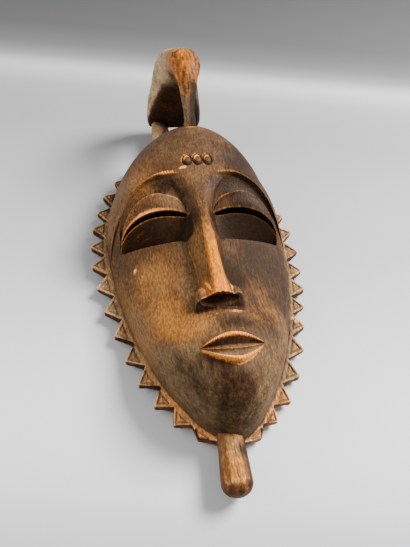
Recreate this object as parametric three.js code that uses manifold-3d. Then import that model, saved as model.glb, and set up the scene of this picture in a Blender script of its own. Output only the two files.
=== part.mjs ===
// A carved wooden face mask: one block of wood, hollow behind, with a border of pointed teeth,
// a long-beaked bird standing on the head and a round peg under the chin.
// Millimetres. The mask lies on its back: +Z comes out of the face, +Y points to the top of the head.

import * as THREE from 'three';
import { mergeVertices } from 'three/addons/utils/BufferGeometryUtils.js';
import Module from 'manifold-3d';

const wasm = await Module();
wasm.setup();

// Driving dimensions of the face outline, seen from the front
const FACE_HALF_WIDTH = 71;
const FACE_WIDEST_Y = -8;
const FACE_TOP_Y = 112;
const CHIN_Y = -170.5;

// The toothed plate round the face, and the back rim that stands a little behind it
const PLATE_BACK_Z = 2;
const PLATE_FRONT_Z = 9;
const VALLEY_REACH = 2;
const VAULT_FOOT_Z = 8.2;
const TEETH = {
  left: { side: -1, count: 15, first: 18.1, pitch: 20.85, crowd: 21, wave: 2, turn: 0.81, phase: 1.43 },
  right: { side: 1, count: 16, first: 12.8, pitch: 19.25, crowd: 16.6, wave: 2, turn: 1.08, phase: 2.62 },
};

// Heights of the face along its middle line, without the nose and the lips, as [y, z]
const CROWN_PROFILE = [
  [CHIN_Y, VAULT_FOOT_Z], [-168.5, 20], [-164, 32], [-155, 42.5], [-145, 48], [-130, 49.5], [-100, 46.5],
  [-60, 42], [-36, 42.5], [-10, 54], [10, 63.5], [24, 67.6], [42, 71.5],
];
const APEX = { y: 42, z: 71.5, fullness: 2.25 };
const SKULL_LEAN = 4;

const BROW = { outerX: 68, outerY: -33, innerY: 13.5, height: 2.2, width: 3.2, step: 1.4 };
const EYE = { innerX: 9.5, outerX: 59.4, innerY: -18.5, outerY: -31, ledgeY: -37.8 };
const SLIT = { halfGap: 1.05, drop: 4.1, reachOut: 9, reachIn: 30 };
const TROUGH_DEPTH = 3;
const GROOVE_DEPTH = 6.8;

// Nose: heights of the ridge, half widths and half widths of the flat ridge band, as [y, value]
const NOSE_RIDGE = [[-96, 55.3], [-60, 56], [-25, 57.5], [-5, 60.3], [3, 62], [12, 64.3]];
const NOSE_HALF_WIDTH = [
  [-102, 16.6], [-97, 16.2], [-90, 14.4], [-84, 11.6], [-77, 10], [-67, 9.6], [-56, 10.7], [-45, 12],
  [-30, 11], [-22, 10.2], [-12, 10.2], [-4, 11.8], [2, 15.2], [8, 19.5], [16, 24], [21, 26],
];
const NOSE_BAND = [[-96, 4.6], [-60, 3.8], [-30, 3.6], [-15, 4.6], [0, 7], [20, 14]];
const NOSE = { tipY: -96.2, tipSkew: 0.128, baseY: -102.6, baseSkew: 0.055, rootY: 21 };
const WING = { x: 10.3, y: -94, reachX: 6.4, reachY: 10.5, topZ: 51.2 };
// The hollow cut into the nose's underside
const SCOOP = { x: 0.3, y: -99.3, z: 50.2, halfWidth: 13.6, halfHeight: 4.1, depth: 4.2 };

const MOUTH = {
  x: 1.1, y: -132.6, lift: 2.4, halfWidth: 18.4, upperHeight: 9.2, lowerHeight: 9.9,
  skew: 0.1, height: 6.4, parting: 5.2,
};
const BUMPS = { xs: [-6, 1.9, 9.8], y: 23.5, radius: 3.6, height: 1.4 };

const WALL = 10.5;
const CAVITY_TOP_Y = 97;
const CAVITY_CHIN_Y = -152;
const CAVITY_HALF_WIDTH = 60.5;

const PEG = { x: -3, y: -156, z: 11, radius: 8.8, waist: 8, baseRadius: 8.3, length: 42.5, lean: 0.035 };

// The bird is one loft along its spine: [y, z, sideways offset, half width, half thickness]
const BIRD_SPINE = [
  [170, 12, 1, 27, 6],
  [171, 22, 1.2, 28.6, 9.5],
  [169, 42, 1.4, 27.4, 13],
  [166, 59, 1.2, 25, 14],
  [159, 74, 0.4, 21.4, 13.5],
  [147, 86, 0.6, 16.8, 12.5],
  [131, 94.5, 3, 13, 11],
  [116, 96.6, 4, 12.4, 10.2],
  [103, 92.5, 3.6, 8.9, 9],
  [93, 84, 3.3, 6.4, 7.5],
  [83, 74, 3.6, 4.9, 5.5],
  [73.5, 63, 4, 4.9, 4.5],
];
const LEGS = [{ x: -15, halfWidth: 8.5 }, { x: 15.6, halfWidth: 5.6 }];
const LEG = { lowZ: 8, highZ: 20.5, footY: 94, topY: 163 };

const clamp01 = (t) => Math.min(1, Math.max(0, t));
const lerp = (a, b, t) => a + (b - a) * t;

function ease(from, to, value) {
  const t = clamp01((value - from) / (to - from));
  return t * t * (3 - 2 * t);
}

// A smooth curve through a few points that never overshoots them
function through(points) {
  const last = points.length - 1;
  const rise = points.slice(1).map(([x, y], i) => (y - points[i][1]) / (x - points[i][0]));
  const slope = points.map((_, i) => {
    if (i === 0 || i === last) return i === 0 ? rise[0] : 0;
    return rise[i - 1] * rise[i] <= 0 ? 0 : (2 * rise[i - 1] * rise[i]) / (rise[i - 1] + rise[i]);
  });
  return (x) => {
    if (x <= points[0][0]) return points[0][1];
    if (x >= points[last][0]) return points[last][1];
    let i = 0;
    while (x > points[i + 1][0]) i += 1;
    const width = points[i + 1][0] - points[i][0];
    const t = (x - points[i][0]) / width;
    const a = points[i][1];
    const b = points[i + 1][1];
    return a * (1 + 2 * t) * (1 - t) ** 2 + width * slope[i] * t * (1 - t) ** 2
      + b * t * t * (3 - 2 * t) + width * slope[i + 1] * t * t * (t - 1);
  };
}

// Half width of the face at a height y: a half ellipse over the eyes and a blunt V down to the chin
function faceHalfWidth(y) {
  if (y >= FACE_WIDEST_Y) {
    const t = clamp01((y - FACE_WIDEST_Y) / (FACE_TOP_Y - FACE_WIDEST_Y));
    return FACE_HALF_WIDTH * Math.sqrt(1 - t * t);
  }
  const t = clamp01((FACE_WIDEST_Y - y) / (FACE_WIDEST_Y - CHIN_Y));
  return FACE_HALF_WIDTH * (1 - t ** 1.6) ** 0.6;
}

const lowerCrown = through(CROWN_PROFILE);

function crown(y) {
  if (y <= APEX.y) return lowerCrown(y);
  const t = clamp01((y - APEX.y) / (FACE_TOP_Y - APEX.y));
  return VAULT_FOOT_Z + (APEX.z - VAULT_FOOT_Z) * Math.sqrt(1 - t ** APEX.fullness);
}

// The plain vault of the head: flat cheeks with upright sides, passing into a round forehead
function vault(x, y) {
  const width = Math.max(faceHalfWidth(y), 0.01);
  const lean = SKULL_LEAN * ease(-5, 55, y) * (1 - clamp01(Math.abs(x) / width) ** 3);
  const t = clamp01(Math.abs(x - lean) / width);
  const skullFullness = x < 0 ? 1.8 : 1.95;
  const cheekbone = 0.6 * (1 - t ** 1.4) + 0.4 * Math.sqrt(1 - t ** 10);
  const jaw = 0.35 * (1 - t ** 1.8) + 0.65 * Math.sqrt(1 - t ** 8);
  const cheek = lerp(cheekbone, jaw, ease(-90, -125, y));
  const dome = Math.sqrt(1 - t ** lerp(3.2, skullFullness, ease(-5, 34, y)));
  return VAULT_FOOT_Z + (crown(y) - VAULT_FOOT_Z) * lerp(cheek, dome, ease(-40, 5, y));
}

function browY(ax) {
  const innerDrop = 2.5 * (1 - ease(12, 34, ax));
  return BROW.outerY - innerDrop + (BROW.innerY - BROW.outerY) * Math.sqrt(1 - clamp01(ax / BROW.outerX) ** 3);
}

// The curves that bound the eye, for a distance ax from the middle line
function lidTopY(ax) {
  const outward = clamp01((ax - 31) / 28.4);
  const inward = clamp01((31 - ax) / 21.5);
  if (ax > 31) return EYE.outerY + 28.7 * Math.sqrt(1 - outward ** 2);
  return EYE.innerY + 16.2 * Math.sqrt(1 - inward ** 2.9);
}

function slitY(ax) {
  if (ax > 27) return EYE.outerY + 15.1 * Math.sqrt(1 - clamp01((ax - 27) / 32.4) ** 1.7);
  return -15.9 - 2.6 * clamp01((27 - ax) / 17.5) ** 2;
}

function ledgeY(ax) {
  return EYE.ledgeY + 5 * clamp01((ax - EYE.innerX) / 50) ** 0.6;
}

function lidTopZ(ax) {
  if (ax > 31) return 27 + 29.3 * Math.sqrt(1 - clamp01((ax - 31) / 28.6) ** 1.8);
  return 49 + 7.3 * (1 - clamp01((31 - ax) / 21.5) ** 2);
}

function slitTopZ(ax) {
  if (ax > 25) return 27 + 24 * Math.sqrt(1 - clamp01((ax - 25) / 34.6) ** 2.5);
  return 48.8 + 2.2 * (1 - clamp01((25 - ax) / 15.5) ** 2);
}

// How far along the eye a place is, 0 at the inner corner and 1 at the outer one, and how open it is there
const alongEye = (ax) => clamp01((ax - EYE.innerX) / (EYE.outerX - EYE.innerX));
const openness = (ax) => Math.sqrt(1 - Math.abs(2 * alongEye(ax) - 1) ** 5);
function insideEye(ax) {
  return ease(EYE.innerX - 2.5, EYE.innerX, ax) * (1 - ease(EYE.outerX - 0.6, EYE.outerX + 0.8, ax));
}

const browFade = (ax) => ease(11, 18, ax);

function browRidge(x, y) {
  const ax = Math.abs(x);
  const above = y - browY(ax);
  const fade = browFade(ax) * (1 - 0.6 * ease(60, 70, ax));
  return above < 0 ? 0 : BROW.height * fade * Math.exp(-((above / BROW.width) ** 2));
}

const noseRidge = through(NOSE_RIDGE);
const noseHalfWidth = through(NOSE_HALF_WIDTH);
const noseBand = through(NOSE_BAND);

// Height of the nose: a banded ridge with sloping sides, and a rounded wing on either side of its tip
function noseZ(x, y) {
  const ax = Math.abs(x);
  const half = noseHalfWidth(y);
  const flat = 0.55 * noseBand(y);
  const drop = Math.max(noseRidge(y) - vault(half, y) + 0.5, 3);
  const side = clamp01((ax - flat) / (half - flat));
  const slope = 0.06 * (ax / half) ** 2 + 0.94 * side ** 1.5;
  const bridge = noseRidge(y) - drop * slope - 7 * ease(8, NOSE.rootY, y);
  const away = ((ax - WING.x) / WING.reachX) ** 2 + ((y - WING.y) / WING.reachY) ** 2;
  const floor = vault(ax, y) - 2;
  const wing = floor + (WING.topZ - floor) * Math.sqrt(clamp01(1 - away)) - 9 * ease(0.8, 1, away);
  return Math.max(bridge, wing);
}

// The rows of the front surface follow the brow, the lid, the slit and the cheek's upper edge, so these
// stay crisp. Each line has its nominal y and, for a distance ax, its true y and its lift off the vault.
function eyeZoneLines(ax, x) {
  const inside = insideEye(ax);
  const open = openness(ax);
  const gap = SLIT.halfGap * open;
  const grooveShape = Math.sqrt(clamp01(1 - Math.abs(2 * alongEye(ax) - 0.95) ** 3));
  const lines = [
    { nominal: -36, y: ledgeY(ax), lift: 0 },
    { nominal: -35, y: ledgeY(ax) + 0.7, lift: -GROOVE_DEPTH * grooveShape * inside },
    { nominal: -21, y: slitY(ax) - gap, height: slitTopZ(ax) - SLIT.drop * open },
    { nominal: -18, y: slitY(ax) + gap, height: slitTopZ(ax) },
    { nominal: -6, y: lidTopY(ax), height: lidTopZ(ax) },
    { nominal: -5, y: lidTopY(ax) + 0.7, lift: -TROUGH_DEPTH * inside },
    { nominal: 11, y: browY(ax) - 0.9, lift: -BROW.step * browFade(ax) * (1 - ease(62, 69, ax)) },
    { nominal: 12, y: browY(ax), lift: browRidge(x, browY(ax)) },
  ];
  lines.forEach((line, k) => {
    if (k > 0) line.y = Math.max(line.y, lines[k - 1].y + 0.35);
    if (line.height !== undefined) line.lift = inside * (line.height - vault(x, line.y));
  });
  return lines;
}

// How much the surface swells between two neighbouring lines
const SWELL = [0, 1.2, 0, 0.9, 0, -1.3, 0];
const ZONE = { from: -60, to: 44 };

function surfacePoint(nominal, fraction) {
  let y = nominal;
  let x = faceHalfWidth(y) * fraction;
  if (nominal <= ZONE.from || nominal >= ZONE.to) return [x, y, vault(x, y) + browRidge(x, y)];
  let lift = 0;
  for (let pass = 0; pass < 8; pass += 1) {
    const ax = Math.abs(x);
    const lines = eyeZoneLines(ax, x);
    const top = lines[lines.length - 1];
    if (nominal <= lines[0].nominal) {
      y = lerp(ZONE.from, lines[0].y, (nominal - ZONE.from) / (lines[0].nominal - ZONE.from));
      lift = 0;
    } else if (nominal >= top.nominal) {
      y = lerp(top.y, ZONE.to, (nominal - top.nominal) / (ZONE.to - top.nominal));
      lift = browRidge(x, y);
    } else {
      let k = 0;
      while (nominal > lines[k + 1].nominal) k += 1;
      const t = (nominal - lines[k].nominal) / (lines[k + 1].nominal - lines[k].nominal);
      y = lerp(lines[k].y, lines[k + 1].y, t);
      lift = lerp(lines[k].lift, lines[k + 1].lift, t) + SWELL[k] * 4 * t * (1 - t) * insideEye(ax);
    }
    x = faceHalfWidth(y) * fraction;
  }
  return [x, y, vault(x, y) + lift];
}

// A closed mesh, built face by face
class Solid {
  constructor() {
    this.points = [];
    this.faces = [];
  }

  point([x, y, z]) {
    this.points.push(x, y, z);
    return this.points.length / 3 - 1;
  }

  quad(a, b, c, d) {
    this.faces.push(a, b, c, a, c, d);
  }

  // Sections of equal length joined in order, closed by a fan at both ends
  static loft(sections) {
    const solid = new Solid();
    const rings = sections.map((section) => section.map((p) => solid.point(p)));
    const n = rings[0].length;
    for (let i = 0; i + 1 < rings.length; i += 1) {
      for (let j = 0; j < n; j += 1) {
        const k = (j + 1) % n;
        solid.quad(rings[i][j], rings[i][k], rings[i + 1][k], rings[i + 1][j]);
      }
    }
    const ends = [[sections[0], rings[0], true], [sections.at(-1), rings.at(-1), false]];
    for (const [section, ring, first] of ends) {
      const middle = solid.point([0, 1, 2].map((c) => section.reduce((sum, p) => sum + p[c], 0) / n));
      for (let j = 0; j < n; j += 1) {
        const k = (j + 1) % n;
        if (first) solid.faces.push(middle, ring[k], ring[j]);
        else solid.faces.push(middle, ring[j], ring[k]);
      }
    }
    return solid.manifold();
  }

  manifold() {
    const mesh = new wasm.Mesh({
      numProp: 3,
      vertProperties: new Float32Array(this.points),
      triVerts: new Uint32Array(this.faces),
    });
    return new wasm.Manifold(mesh);
  }
}

// A vault: rows of surface points between two end points, upright sides and a flat underside at floorZ
function vaultSolid(rows, chinPoint, topPoint, floorZ) {
  const solid = new Solid();
  const grid = rows.map((row) => row.map((p) => solid.point(p)));
  const chin = solid.point(chinPoint);
  const top = solid.point(topPoint);
  const down = ([x, y]) => solid.point([x, y, floorZ]);
  const rightFoot = rows.map((row) => down(row.at(-1)));
  const leftFoot = rows.map((row) => down(row[0]));
  const chinFoot = down(chinPoint);
  const topFoot = down(topPoint);
  const width = grid[0].length - 1;
  const end = grid.length - 1;
  for (let i = 0; i < end; i += 1) {
    for (let j = 0; j < width; j += 1) {
      solid.quad(grid[i][j], grid[i][j + 1], grid[i + 1][j + 1], grid[i + 1][j]);
    }
    solid.quad(rightFoot[i], rightFoot[i + 1], grid[i + 1][width], grid[i][width]);
    solid.quad(leftFoot[i + 1], leftFoot[i], grid[i][0], grid[i + 1][0]);
  }
  for (let j = 0; j < width; j += 1) {
    solid.faces.push(chin, grid[0][j + 1], grid[0][j]);
    solid.faces.push(top, grid[end][j], grid[end][j + 1]);
  }
  solid.quad(chinFoot, rightFoot[0], grid[0][width], chin);
  solid.quad(leftFoot[0], chinFoot, chin, grid[0][0]);
  solid.quad(rightFoot[end], topFoot, top, grid[end][width]);
  solid.quad(topFoot, leftFoot[end], grid[end][0], top);
  const rim = [chinFoot, ...rightFoot, topFoot, ...leftFoot.slice().reverse()];
  const centre = solid.point([0, FACE_WIDEST_Y, floorZ]);
  rim.forEach((a, i) => solid.faces.push(centre, rim[(i + 1) % rim.length], a));
  return solid.manifold();
}

const span = (from, to, steps) => Array.from({ length: steps }, (_, i) => lerp(from, to, (i + 1) / steps));

function fractions(count, centre) {
  return Array.from({ length: count + 1 }, (_, j) => {
    const u = (2 * j) / count - 1;
    return Math.sin((Math.PI / 2) * (centre * u + (1 - centre) * u ** 3));
  });
}

function frontSolid() {
  const nominals = [
    -169.8, -168.5, -166.5, -163.5, -160, ...span(-160, -146, 3), ...span(-146, -104, 6),
    ...span(-104, -60, 6), ...span(-60, -36, 4), -35, ...span(-35, -21, 4), -18,
    ...span(-18, -6, 3), -5, ...span(-5, 11, 3), 12, ...span(12, 20, 3), ...span(20, 44, 3),
    ...span(44, 92, 5), 100, 106, 109.5, 111.3,
  ];
  const columns = fractions(40, 0.56);
  const rows = nominals.map((nominal) => columns.map((fraction) => surfacePoint(nominal, fraction)));
  return vaultSolid(rows, [0, CHIN_Y, VAULT_FOOT_Z], [0, FACE_TOP_Y, VAULT_FOOT_Z], 0);
}

// The hollow that the wearer's face goes into
function cavitySolid() {
  const half = (CAVITY_TOP_Y - CAVITY_CHIN_Y) / 2;
  const middle = (CAVITY_TOP_Y + CAVITY_CHIN_Y) / 2;
  const outline = (y) => Math.min(
    CAVITY_HALF_WIDTH * Math.sqrt(1 - clamp01(Math.abs(y - middle) / half) ** 2.6),
    Math.max(faceHalfWidth(y) - WALL, 0.5),
  );
  const ys = span(CAVITY_CHIN_Y, CAVITY_TOP_Y, 22).slice(0, -1);
  const columns = fractions(14, 0.7);
  const rows = ys.map((y) => columns.map((fraction) => {
    const x = outline(y) * fraction;
    const taper = Math.sqrt(1 - clamp01(Math.abs(y - middle) / half) ** 4);
    const roof = (vault(x, y) - WALL - 1.5 * ease(-70, -36, y)) * taper;
    return [x, y, Math.max(roof * Math.sqrt(1 - Math.abs(fraction) ** 8) + 0.5, 0.5)];
  }));
  return vaultSolid(rows, [0, CAVITY_CHIN_Y, 0.5], [0, CAVITY_TOP_Y, 0.5], -2);
}

// One eye slit: a curved band cut straight through the shell, square to the lid
function slitSolid(side) {
  const samples = 22;
  const inward = [0, 0.62, -0.78];
  const upward = [0, 0.78, 0.62];
  const sections = [];
  for (let i = 0; i <= samples; i += 1) {
    const ax = lerp(EYE.innerX + 0.6, EYE.outerX - 1.2, i / samples);
    const centre = [side * ax, slitY(ax), slitTopZ(ax) - (SLIT.drop / 2) * openness(ax)];
    const gap = 2.2 * Math.max(openness(ax), 0.3);
    const depth = lerp(SLIT.reachIn, 16, ease(40, EYE.outerX, ax));
    const corner = (up, along) => centre.map((c, n) => c + upward[n] * up + inward[n] * along);
    const outside = [corner(-gap, -SLIT.reachOut), corner(gap, -SLIT.reachOut)];
    const section = [...outside, corner(gap, depth), corner(-gap, depth)];
    sections.push(side > 0 ? section.reverse() : section);
  }
  return Solid.loft(sections);
}

// The face outline as points with their running length from the chin
function outlineRun() {
  const run = [];
  let length = 0;
  for (let i = 0; i <= 240; i += 1) {
    const angle = (Math.PI * i) / 240;
    const reach = angle < Math.PI / 2 ? FACE_WIDEST_Y - CHIN_Y : FACE_TOP_Y - FACE_WIDEST_Y;
    const y = FACE_WIDEST_Y - reach * Math.cos(angle);
    const point = new THREE.Vector2(faceHalfWidth(y), y);
    if (i > 0) length += point.distanceTo(run[i - 1].point);
    run.push({ point, length });
  }
  return run;
}

const OUTLINE = outlineRun();
const HALF_OUTLINE = OUTLINE.at(-1).length;

// The point that lies a reach outside the outline at a running length from the chin
function beside(length, reach) {
  const i = Math.max(1, OUTLINE.findIndex((entry) => entry.length >= length));
  const a = OUTLINE[i - 1];
  const b = OUTLINE[i];
  const t = clamp01((length - a.length) / (b.length - a.length));
  const point = a.point.clone().lerp(b.point, t);
  const normal = new THREE.Vector2(b.point.y - a.point.y, a.point.x - b.point.x).normalize();
  return point.addScaledVector(normal, reach);
}

// Running length of a tooth's tip: evenly carved on the whole, closer together towards the chin
function tipLength({ first, pitch, crowd, wave, turn, phase }, k) {
  return first + pitch * k - crowd * (1 - Math.exp(-k / 3)) + wave * Math.sin(turn * k + phase);
}

function toothReach(length) {
  const longer = 1.8 * Math.exp(-(((length - 70) / 22) ** 2));
  return lerp(6, 10.6, ease(8, 44, length)) + 3.2 * ease(60, 170, length) + longer;
}

function plateSide(teeth) {
  const edge = [];
  for (let k = 0; k < teeth.count; k += 1) {
    const tip = tipLength(teeth, k);
    const before = k > 0 ? (tipLength(teeth, k - 1) + tip) / 2 : tip - 8;
    edge.push(beside(Math.max(before, 2), VALLEY_REACH), beside(tip, toothReach(tip)));
  }
  const last = tipLength(teeth, teeth.count - 1) + 9;
  for (let length = last; length < HALF_OUTLINE; length += 8) edge.push(beside(length, VALLEY_REACH));
  return edge.map((p) => new THREE.Vector2(p.x * teeth.side, p.y));
}

function plateSolid() {
  const right = plateSide(TEETH.right);
  const left = plateSide(TEETH.left);
  const shape = new THREE.Shape([...right, new THREE.Vector2(0, FACE_TOP_Y + VALLEY_REACH), ...left.reverse()]);
  const plate = new THREE.ExtrudeGeometry(shape, { depth: PLATE_FRONT_Z - PLATE_BACK_Z, bevelEnabled: false });
  return fromGeometry(plate.translate(0, 0, PLATE_BACK_Z));
}

function fromGeometry(geometry) {
  geometry.deleteAttribute('normal');
  geometry.deleteAttribute('uv');
  const merged = mergeVertices(geometry, 1e-4);
  const mesh = new wasm.Mesh({
    numProp: 3,
    vertProperties: new Float32Array(merged.attributes.position.array),
    triVerts: new Uint32Array(merged.index.array),
  });
  return new wasm.Manifold(mesh);
}

// The round peg under the chin, a little narrower at its middle, with a rounded end
function pegSolid() {
  const end = PEG.length - 6;
  const profile = [[0, 0], [PEG.baseRadius, 0], [PEG.waist, end * 0.45], [PEG.radius, end]];
  for (const t of [0.25, 0.5, 0.75, 1]) {
    const turn = 0.12 + 0.9 * t * (Math.PI / 2 - 0.12);
    profile.push([PEG.radius * Math.cos(turn), end + 6.4 * Math.sin((0.95 * t * Math.PI) / 2)]);
  }
  profile.push([0, PEG.length + 0.6]);
  const peg = new THREE.LatheGeometry(profile.map(([r, along]) => new THREE.Vector2(r, along)), 20);
  peg.rotateX(Math.PI).rotateZ(-PEG.lean).translate(PEG.x, PEG.y, PEG.z);
  return fromGeometry(peg);
}

// The bird: tail, back, arched neck, head and a long beak that touches the forehead
function birdSolid() {
  const around = 12;
  const track = new THREE.CatmullRomCurve3(BIRD_SPINE.map(([y, z, x]) => new THREE.Vector3(x, y, z)));
  const sizes = BIRD_SPINE.map(([, , , half, thick]) => new THREE.Vector3(half, thick, 0));
  const sizeTrack = new THREE.CatmullRomCurve3(sizes);
  const steps = 2 * (BIRD_SPINE.length - 1);
  const sections = [];
  for (let i = 0; i <= steps; i += 1) {
    const t = i / steps;
    const centre = track.getPoint(t);
    const tangent = track.getTangent(t);
    const { x: half, y: thick } = sizeTrack.getPoint(t);
    const outward = new THREE.Vector3(0, tangent.z, -tangent.y).normalize();
    const roundness = lerp(0.5, 1, ease(0.42, 0.56, t));
    const ridged = lerp(roundness, 1.65, ease(0.68, 0.8, t));
    const pinch = 0.42 * ease(0.05, 0.36, t) * (1 - ease(0.42, 0.56, t));
    const section = [];
    for (let j = 0; j < around; j += 1) {
      const angle = (2 * Math.PI * j) / around;
      const power = Math.sin(angle) > 0.001 ? ridged : roundness;
      const bend = (value) => Math.sign(value) * Math.abs(value) ** power;
      const out = thick * bend(Math.sin(angle));
      const across = half * bend(Math.cos(angle)) * (1 - pinch * (0.5 - out / thick / 2));
      section.push([centre.x + across, centre.y + outward.y * out, centre.z + outward.z * out]);
    }
    sections.push(section);
  }
  return Solid.loft(sections);
}

function legSolid({ x, halfWidth }) {
  const sections = [LEG.footY, 128, LEG.topY].map((y) => {
    const spread = 2.5 * ease(LEG.topY, LEG.footY, y) * Math.sign(x);
    const corner = (dx, z) => [x + spread + dx * halfWidth, y, z];
    return [
      corner(-1, LEG.lowZ + 2), corner(-0.7, LEG.lowZ), corner(0.7, LEG.lowZ), corner(1, LEG.lowZ + 2),
      corner(1, LEG.highZ - 3), corner(0.6, LEG.highZ), corner(-0.6, LEG.highZ), corner(-1, LEG.highZ - 3),
    ];
  });
  return Solid.loft(sections.reverse());
}

// The nose: a long narrow ridge whose underside widens into the wings
function noseSolid() {
  const shares = Array.from({ length: 15 }, (_, i) => Math.sin((Math.PI / 2) * (i / 7 - 1)));
  const section = (station, place) => {
    const half = noseHalfWidth(station);
    const top = shares.map((share) => place(share * half));
    const floor = vault(half, station) - 6;
    return [...top, [half, top.at(-1)[1], floor], [-half, top[0][1], floor]];
  };
  const baseLine = (x) => {
    const y = NOSE.baseY + NOSE.baseSkew * x;
    return [x, y, vault(x, y) - 0.5];
  };
  const tipY = (x) => NOSE.tipY + NOSE.tipSkew * x * ease(3, 12, Math.abs(x));
  const tipLine = (x) => [x, tipY(x), noseZ(x, NOSE.tipY)];
  const stations = [
    -94, -91, -88, -85, -81, -76, -66, -54, -42, -30, -20, -12, -5, 0, 5, 9, 13, 17, NOSE.rootY,
  ];
  const body = stations.map((y) => section(y, (x) => [x, Math.max(y, tipY(x) + 0.3), noseZ(x, y)]));
  return Solid.loft([section(NOSE.tipY, baseLine), section(NOSE.tipY, tipLine), ...body]);
}

// The hollow in the nose's underside: a flattened ball, turned to face it
function scoopSolid() {
  const ball = new THREE.SphereGeometry(1, 14, 8);
  ball.scale(SCOOP.halfWidth, SCOOP.depth, SCOOP.halfHeight);
  ball.rotateX(-Math.atan2(0.61, 0.79)).rotateZ(0.045).translate(SCOOP.x, SCOOP.y, SCOOP.z);
  return fromGeometry(ball);
}

// The lips: one almond with a raised rim, hollowed towards the line between them
function mouthSolid() {
  const samples = 16;
  const profile = [
    [1.02, -3], [1, 0.1], [0.91, 0.95], [0.79, 0.88], [0.6, 0.5], [0.1, 0], [-0.05, 0.16], [-0.16, 0.08],
    [-0.6, 0.56], [-0.79, 0.9], [-0.91, 0.95], [-1, 0.1], [-1.02, -3],
  ];
  const sections = [];
  for (let i = 0; i <= samples; i += 1) {
    const u = Math.sin((Math.PI / 2) * ((2 * i) / samples - 1) * 0.985);
    const x = MOUTH.x + MOUTH.halfWidth * u;
    const middleY = MOUTH.y + MOUTH.lift * u * u;
    const open = (1 - Math.abs(u) ** 1.9) ** 1.05;
    const skewed = Math.abs((u - MOUTH.skew) / (u > MOUTH.skew ? 1 - MOUTH.skew : 1 + MOUTH.skew));
    const lower = MOUTH.lowerHeight * (1 - clamp01(skewed) ** 1.45) ** 0.95;
    const height = MOUTH.height * (0.5 + 0.5 * open ** 0.6);
    const parting = MOUTH.parting * open ** 0.6;
    sections.push(profile.map(([across, up]) => {
      const y = middleY + across * (across > 0 ? MOUTH.upperHeight * open : lower);
      if (up < -1) return [x, y, vault(x, y) + up];
      if (Math.abs(across) > 0.95) return [x, y, vault(x, y) + height * up];
      return [x, y, vault(x, y) + height - parting * (1 - up)];
    }));
  }
  return Solid.loft(sections);
}

function bumpSolid(x) {
  const bump = new THREE.SphereGeometry(BUMPS.radius, 10, 6);
  bump.scale(0.8, 1.15, BUMPS.height / BUMPS.radius);
  bump.translate(x, BUMPS.y, vault(x, BUMPS.y));
  return fromGeometry(bump);
}

function carveMask() {
  let wood = frontSolid().add(plateSolid());
  wood = wood.add(pegSolid()).add(birdSolid());
  for (const leg of LEGS) wood = wood.add(legSolid(leg));
  wood = wood.add(noseSolid()).subtract(scoopSolid()).add(mouthSolid());
  for (const x of BUMPS.xs) wood = wood.add(bumpSolid(x));
  wood = wood.subtract(cavitySolid());
  return wood.subtract(slitSolid(1)).subtract(slitSolid(-1));
}

function toGeometry(manifold) {
  const { vertProperties, triVerts } = manifold.getMesh();
  const geometry = new THREE.BufferGeometry();
  geometry.setAttribute('position', new THREE.BufferAttribute(vertProperties, 3));
  geometry.setIndex(new THREE.BufferAttribute(triVerts, 1));
  geometry.computeVertexNormals();
  return geometry;
}

const wood = new THREE.MeshStandardMaterial({ name: 'carved_wood', color: 0x74502f, roughness: 0.55 });
const mask = new THREE.Mesh(toGeometry(carveMask()), wood);
mask.name = 'mask';

// The model's origin is below the middle of the whole carving, on the surface that it lies on
const box = new THREE.Box3().setFromObject(mask);
const middle = box.getCenter(new THREE.Vector3());
mask.position.set(-middle.x, -middle.y, -box.min.z);

const group = new THREE.Group();
group.add(mask);

export default group;
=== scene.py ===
"""A carved wooden face mask lying on its back, in a plain studio.

The mask is one block of dark patinated wood: a long oval face, hollow behind, with slit eyes, a narrow ridged
nose, notched lips, a border of pointed teeth, a long-beaked bird on the head and a round peg under the chin.
Shapes are worked out in millimetres in the carver's own frame (x to the right, y towards the top of the head,
z out of the face, the back rim at z = 0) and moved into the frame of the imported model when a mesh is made.
"""

import logging
import math
from dataclasses import dataclass, field
from enum import Enum
from typing import Sequence

import bpy
import numpy as np
from bpy.types import Material, Node, NodeSocket, NodeTree, Object
from mathutils import Matrix, Vector
from mathutils.bvhtree import BVHTree


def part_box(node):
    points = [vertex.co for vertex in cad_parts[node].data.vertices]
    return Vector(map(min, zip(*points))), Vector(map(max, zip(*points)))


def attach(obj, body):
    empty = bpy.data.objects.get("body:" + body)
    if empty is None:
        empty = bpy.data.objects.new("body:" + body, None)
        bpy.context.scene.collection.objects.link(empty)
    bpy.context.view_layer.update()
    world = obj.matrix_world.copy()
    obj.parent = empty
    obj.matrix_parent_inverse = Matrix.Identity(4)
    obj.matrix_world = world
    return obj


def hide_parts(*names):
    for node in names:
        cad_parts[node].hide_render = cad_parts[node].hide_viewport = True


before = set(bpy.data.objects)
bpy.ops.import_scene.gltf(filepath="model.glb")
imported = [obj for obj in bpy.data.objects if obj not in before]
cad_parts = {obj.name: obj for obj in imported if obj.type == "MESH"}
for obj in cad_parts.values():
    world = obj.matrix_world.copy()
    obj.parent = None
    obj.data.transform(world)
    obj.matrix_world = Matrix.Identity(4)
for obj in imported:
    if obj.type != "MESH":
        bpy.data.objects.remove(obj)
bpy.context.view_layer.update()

Array = np.ndarray
Colour = tuple[float, float, float, float]
MM = 0.001
LOG = logging.getLogger("mask")


class Attribute(Enum):
    """Values stored on the vertices of the carving, read by its materials."""

    WORN = "worn"
    # grime in the carved corners and creases, and painted shade there
    RECESS_DIRT_AND_SHADE = "recess"
    # scuffs on edges, and painted highlights along sharp edges and the lip rims
    EDGE = "edge"
    # dust, and painted light on the bird's left flank and the lower left teeth
    DUST_AND_PAINTED_LIGHT = "film"
    # staining and grime, and painted shade in hollows, under the nose, under the bird and on right-facing sides
    STAIN_AND_SHADE = "stain"
    TONE = "tone"


class Side(Enum):
    """A side of the face, as the sign of its x."""

    LEFT = -1
    RIGHT = 1


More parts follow.
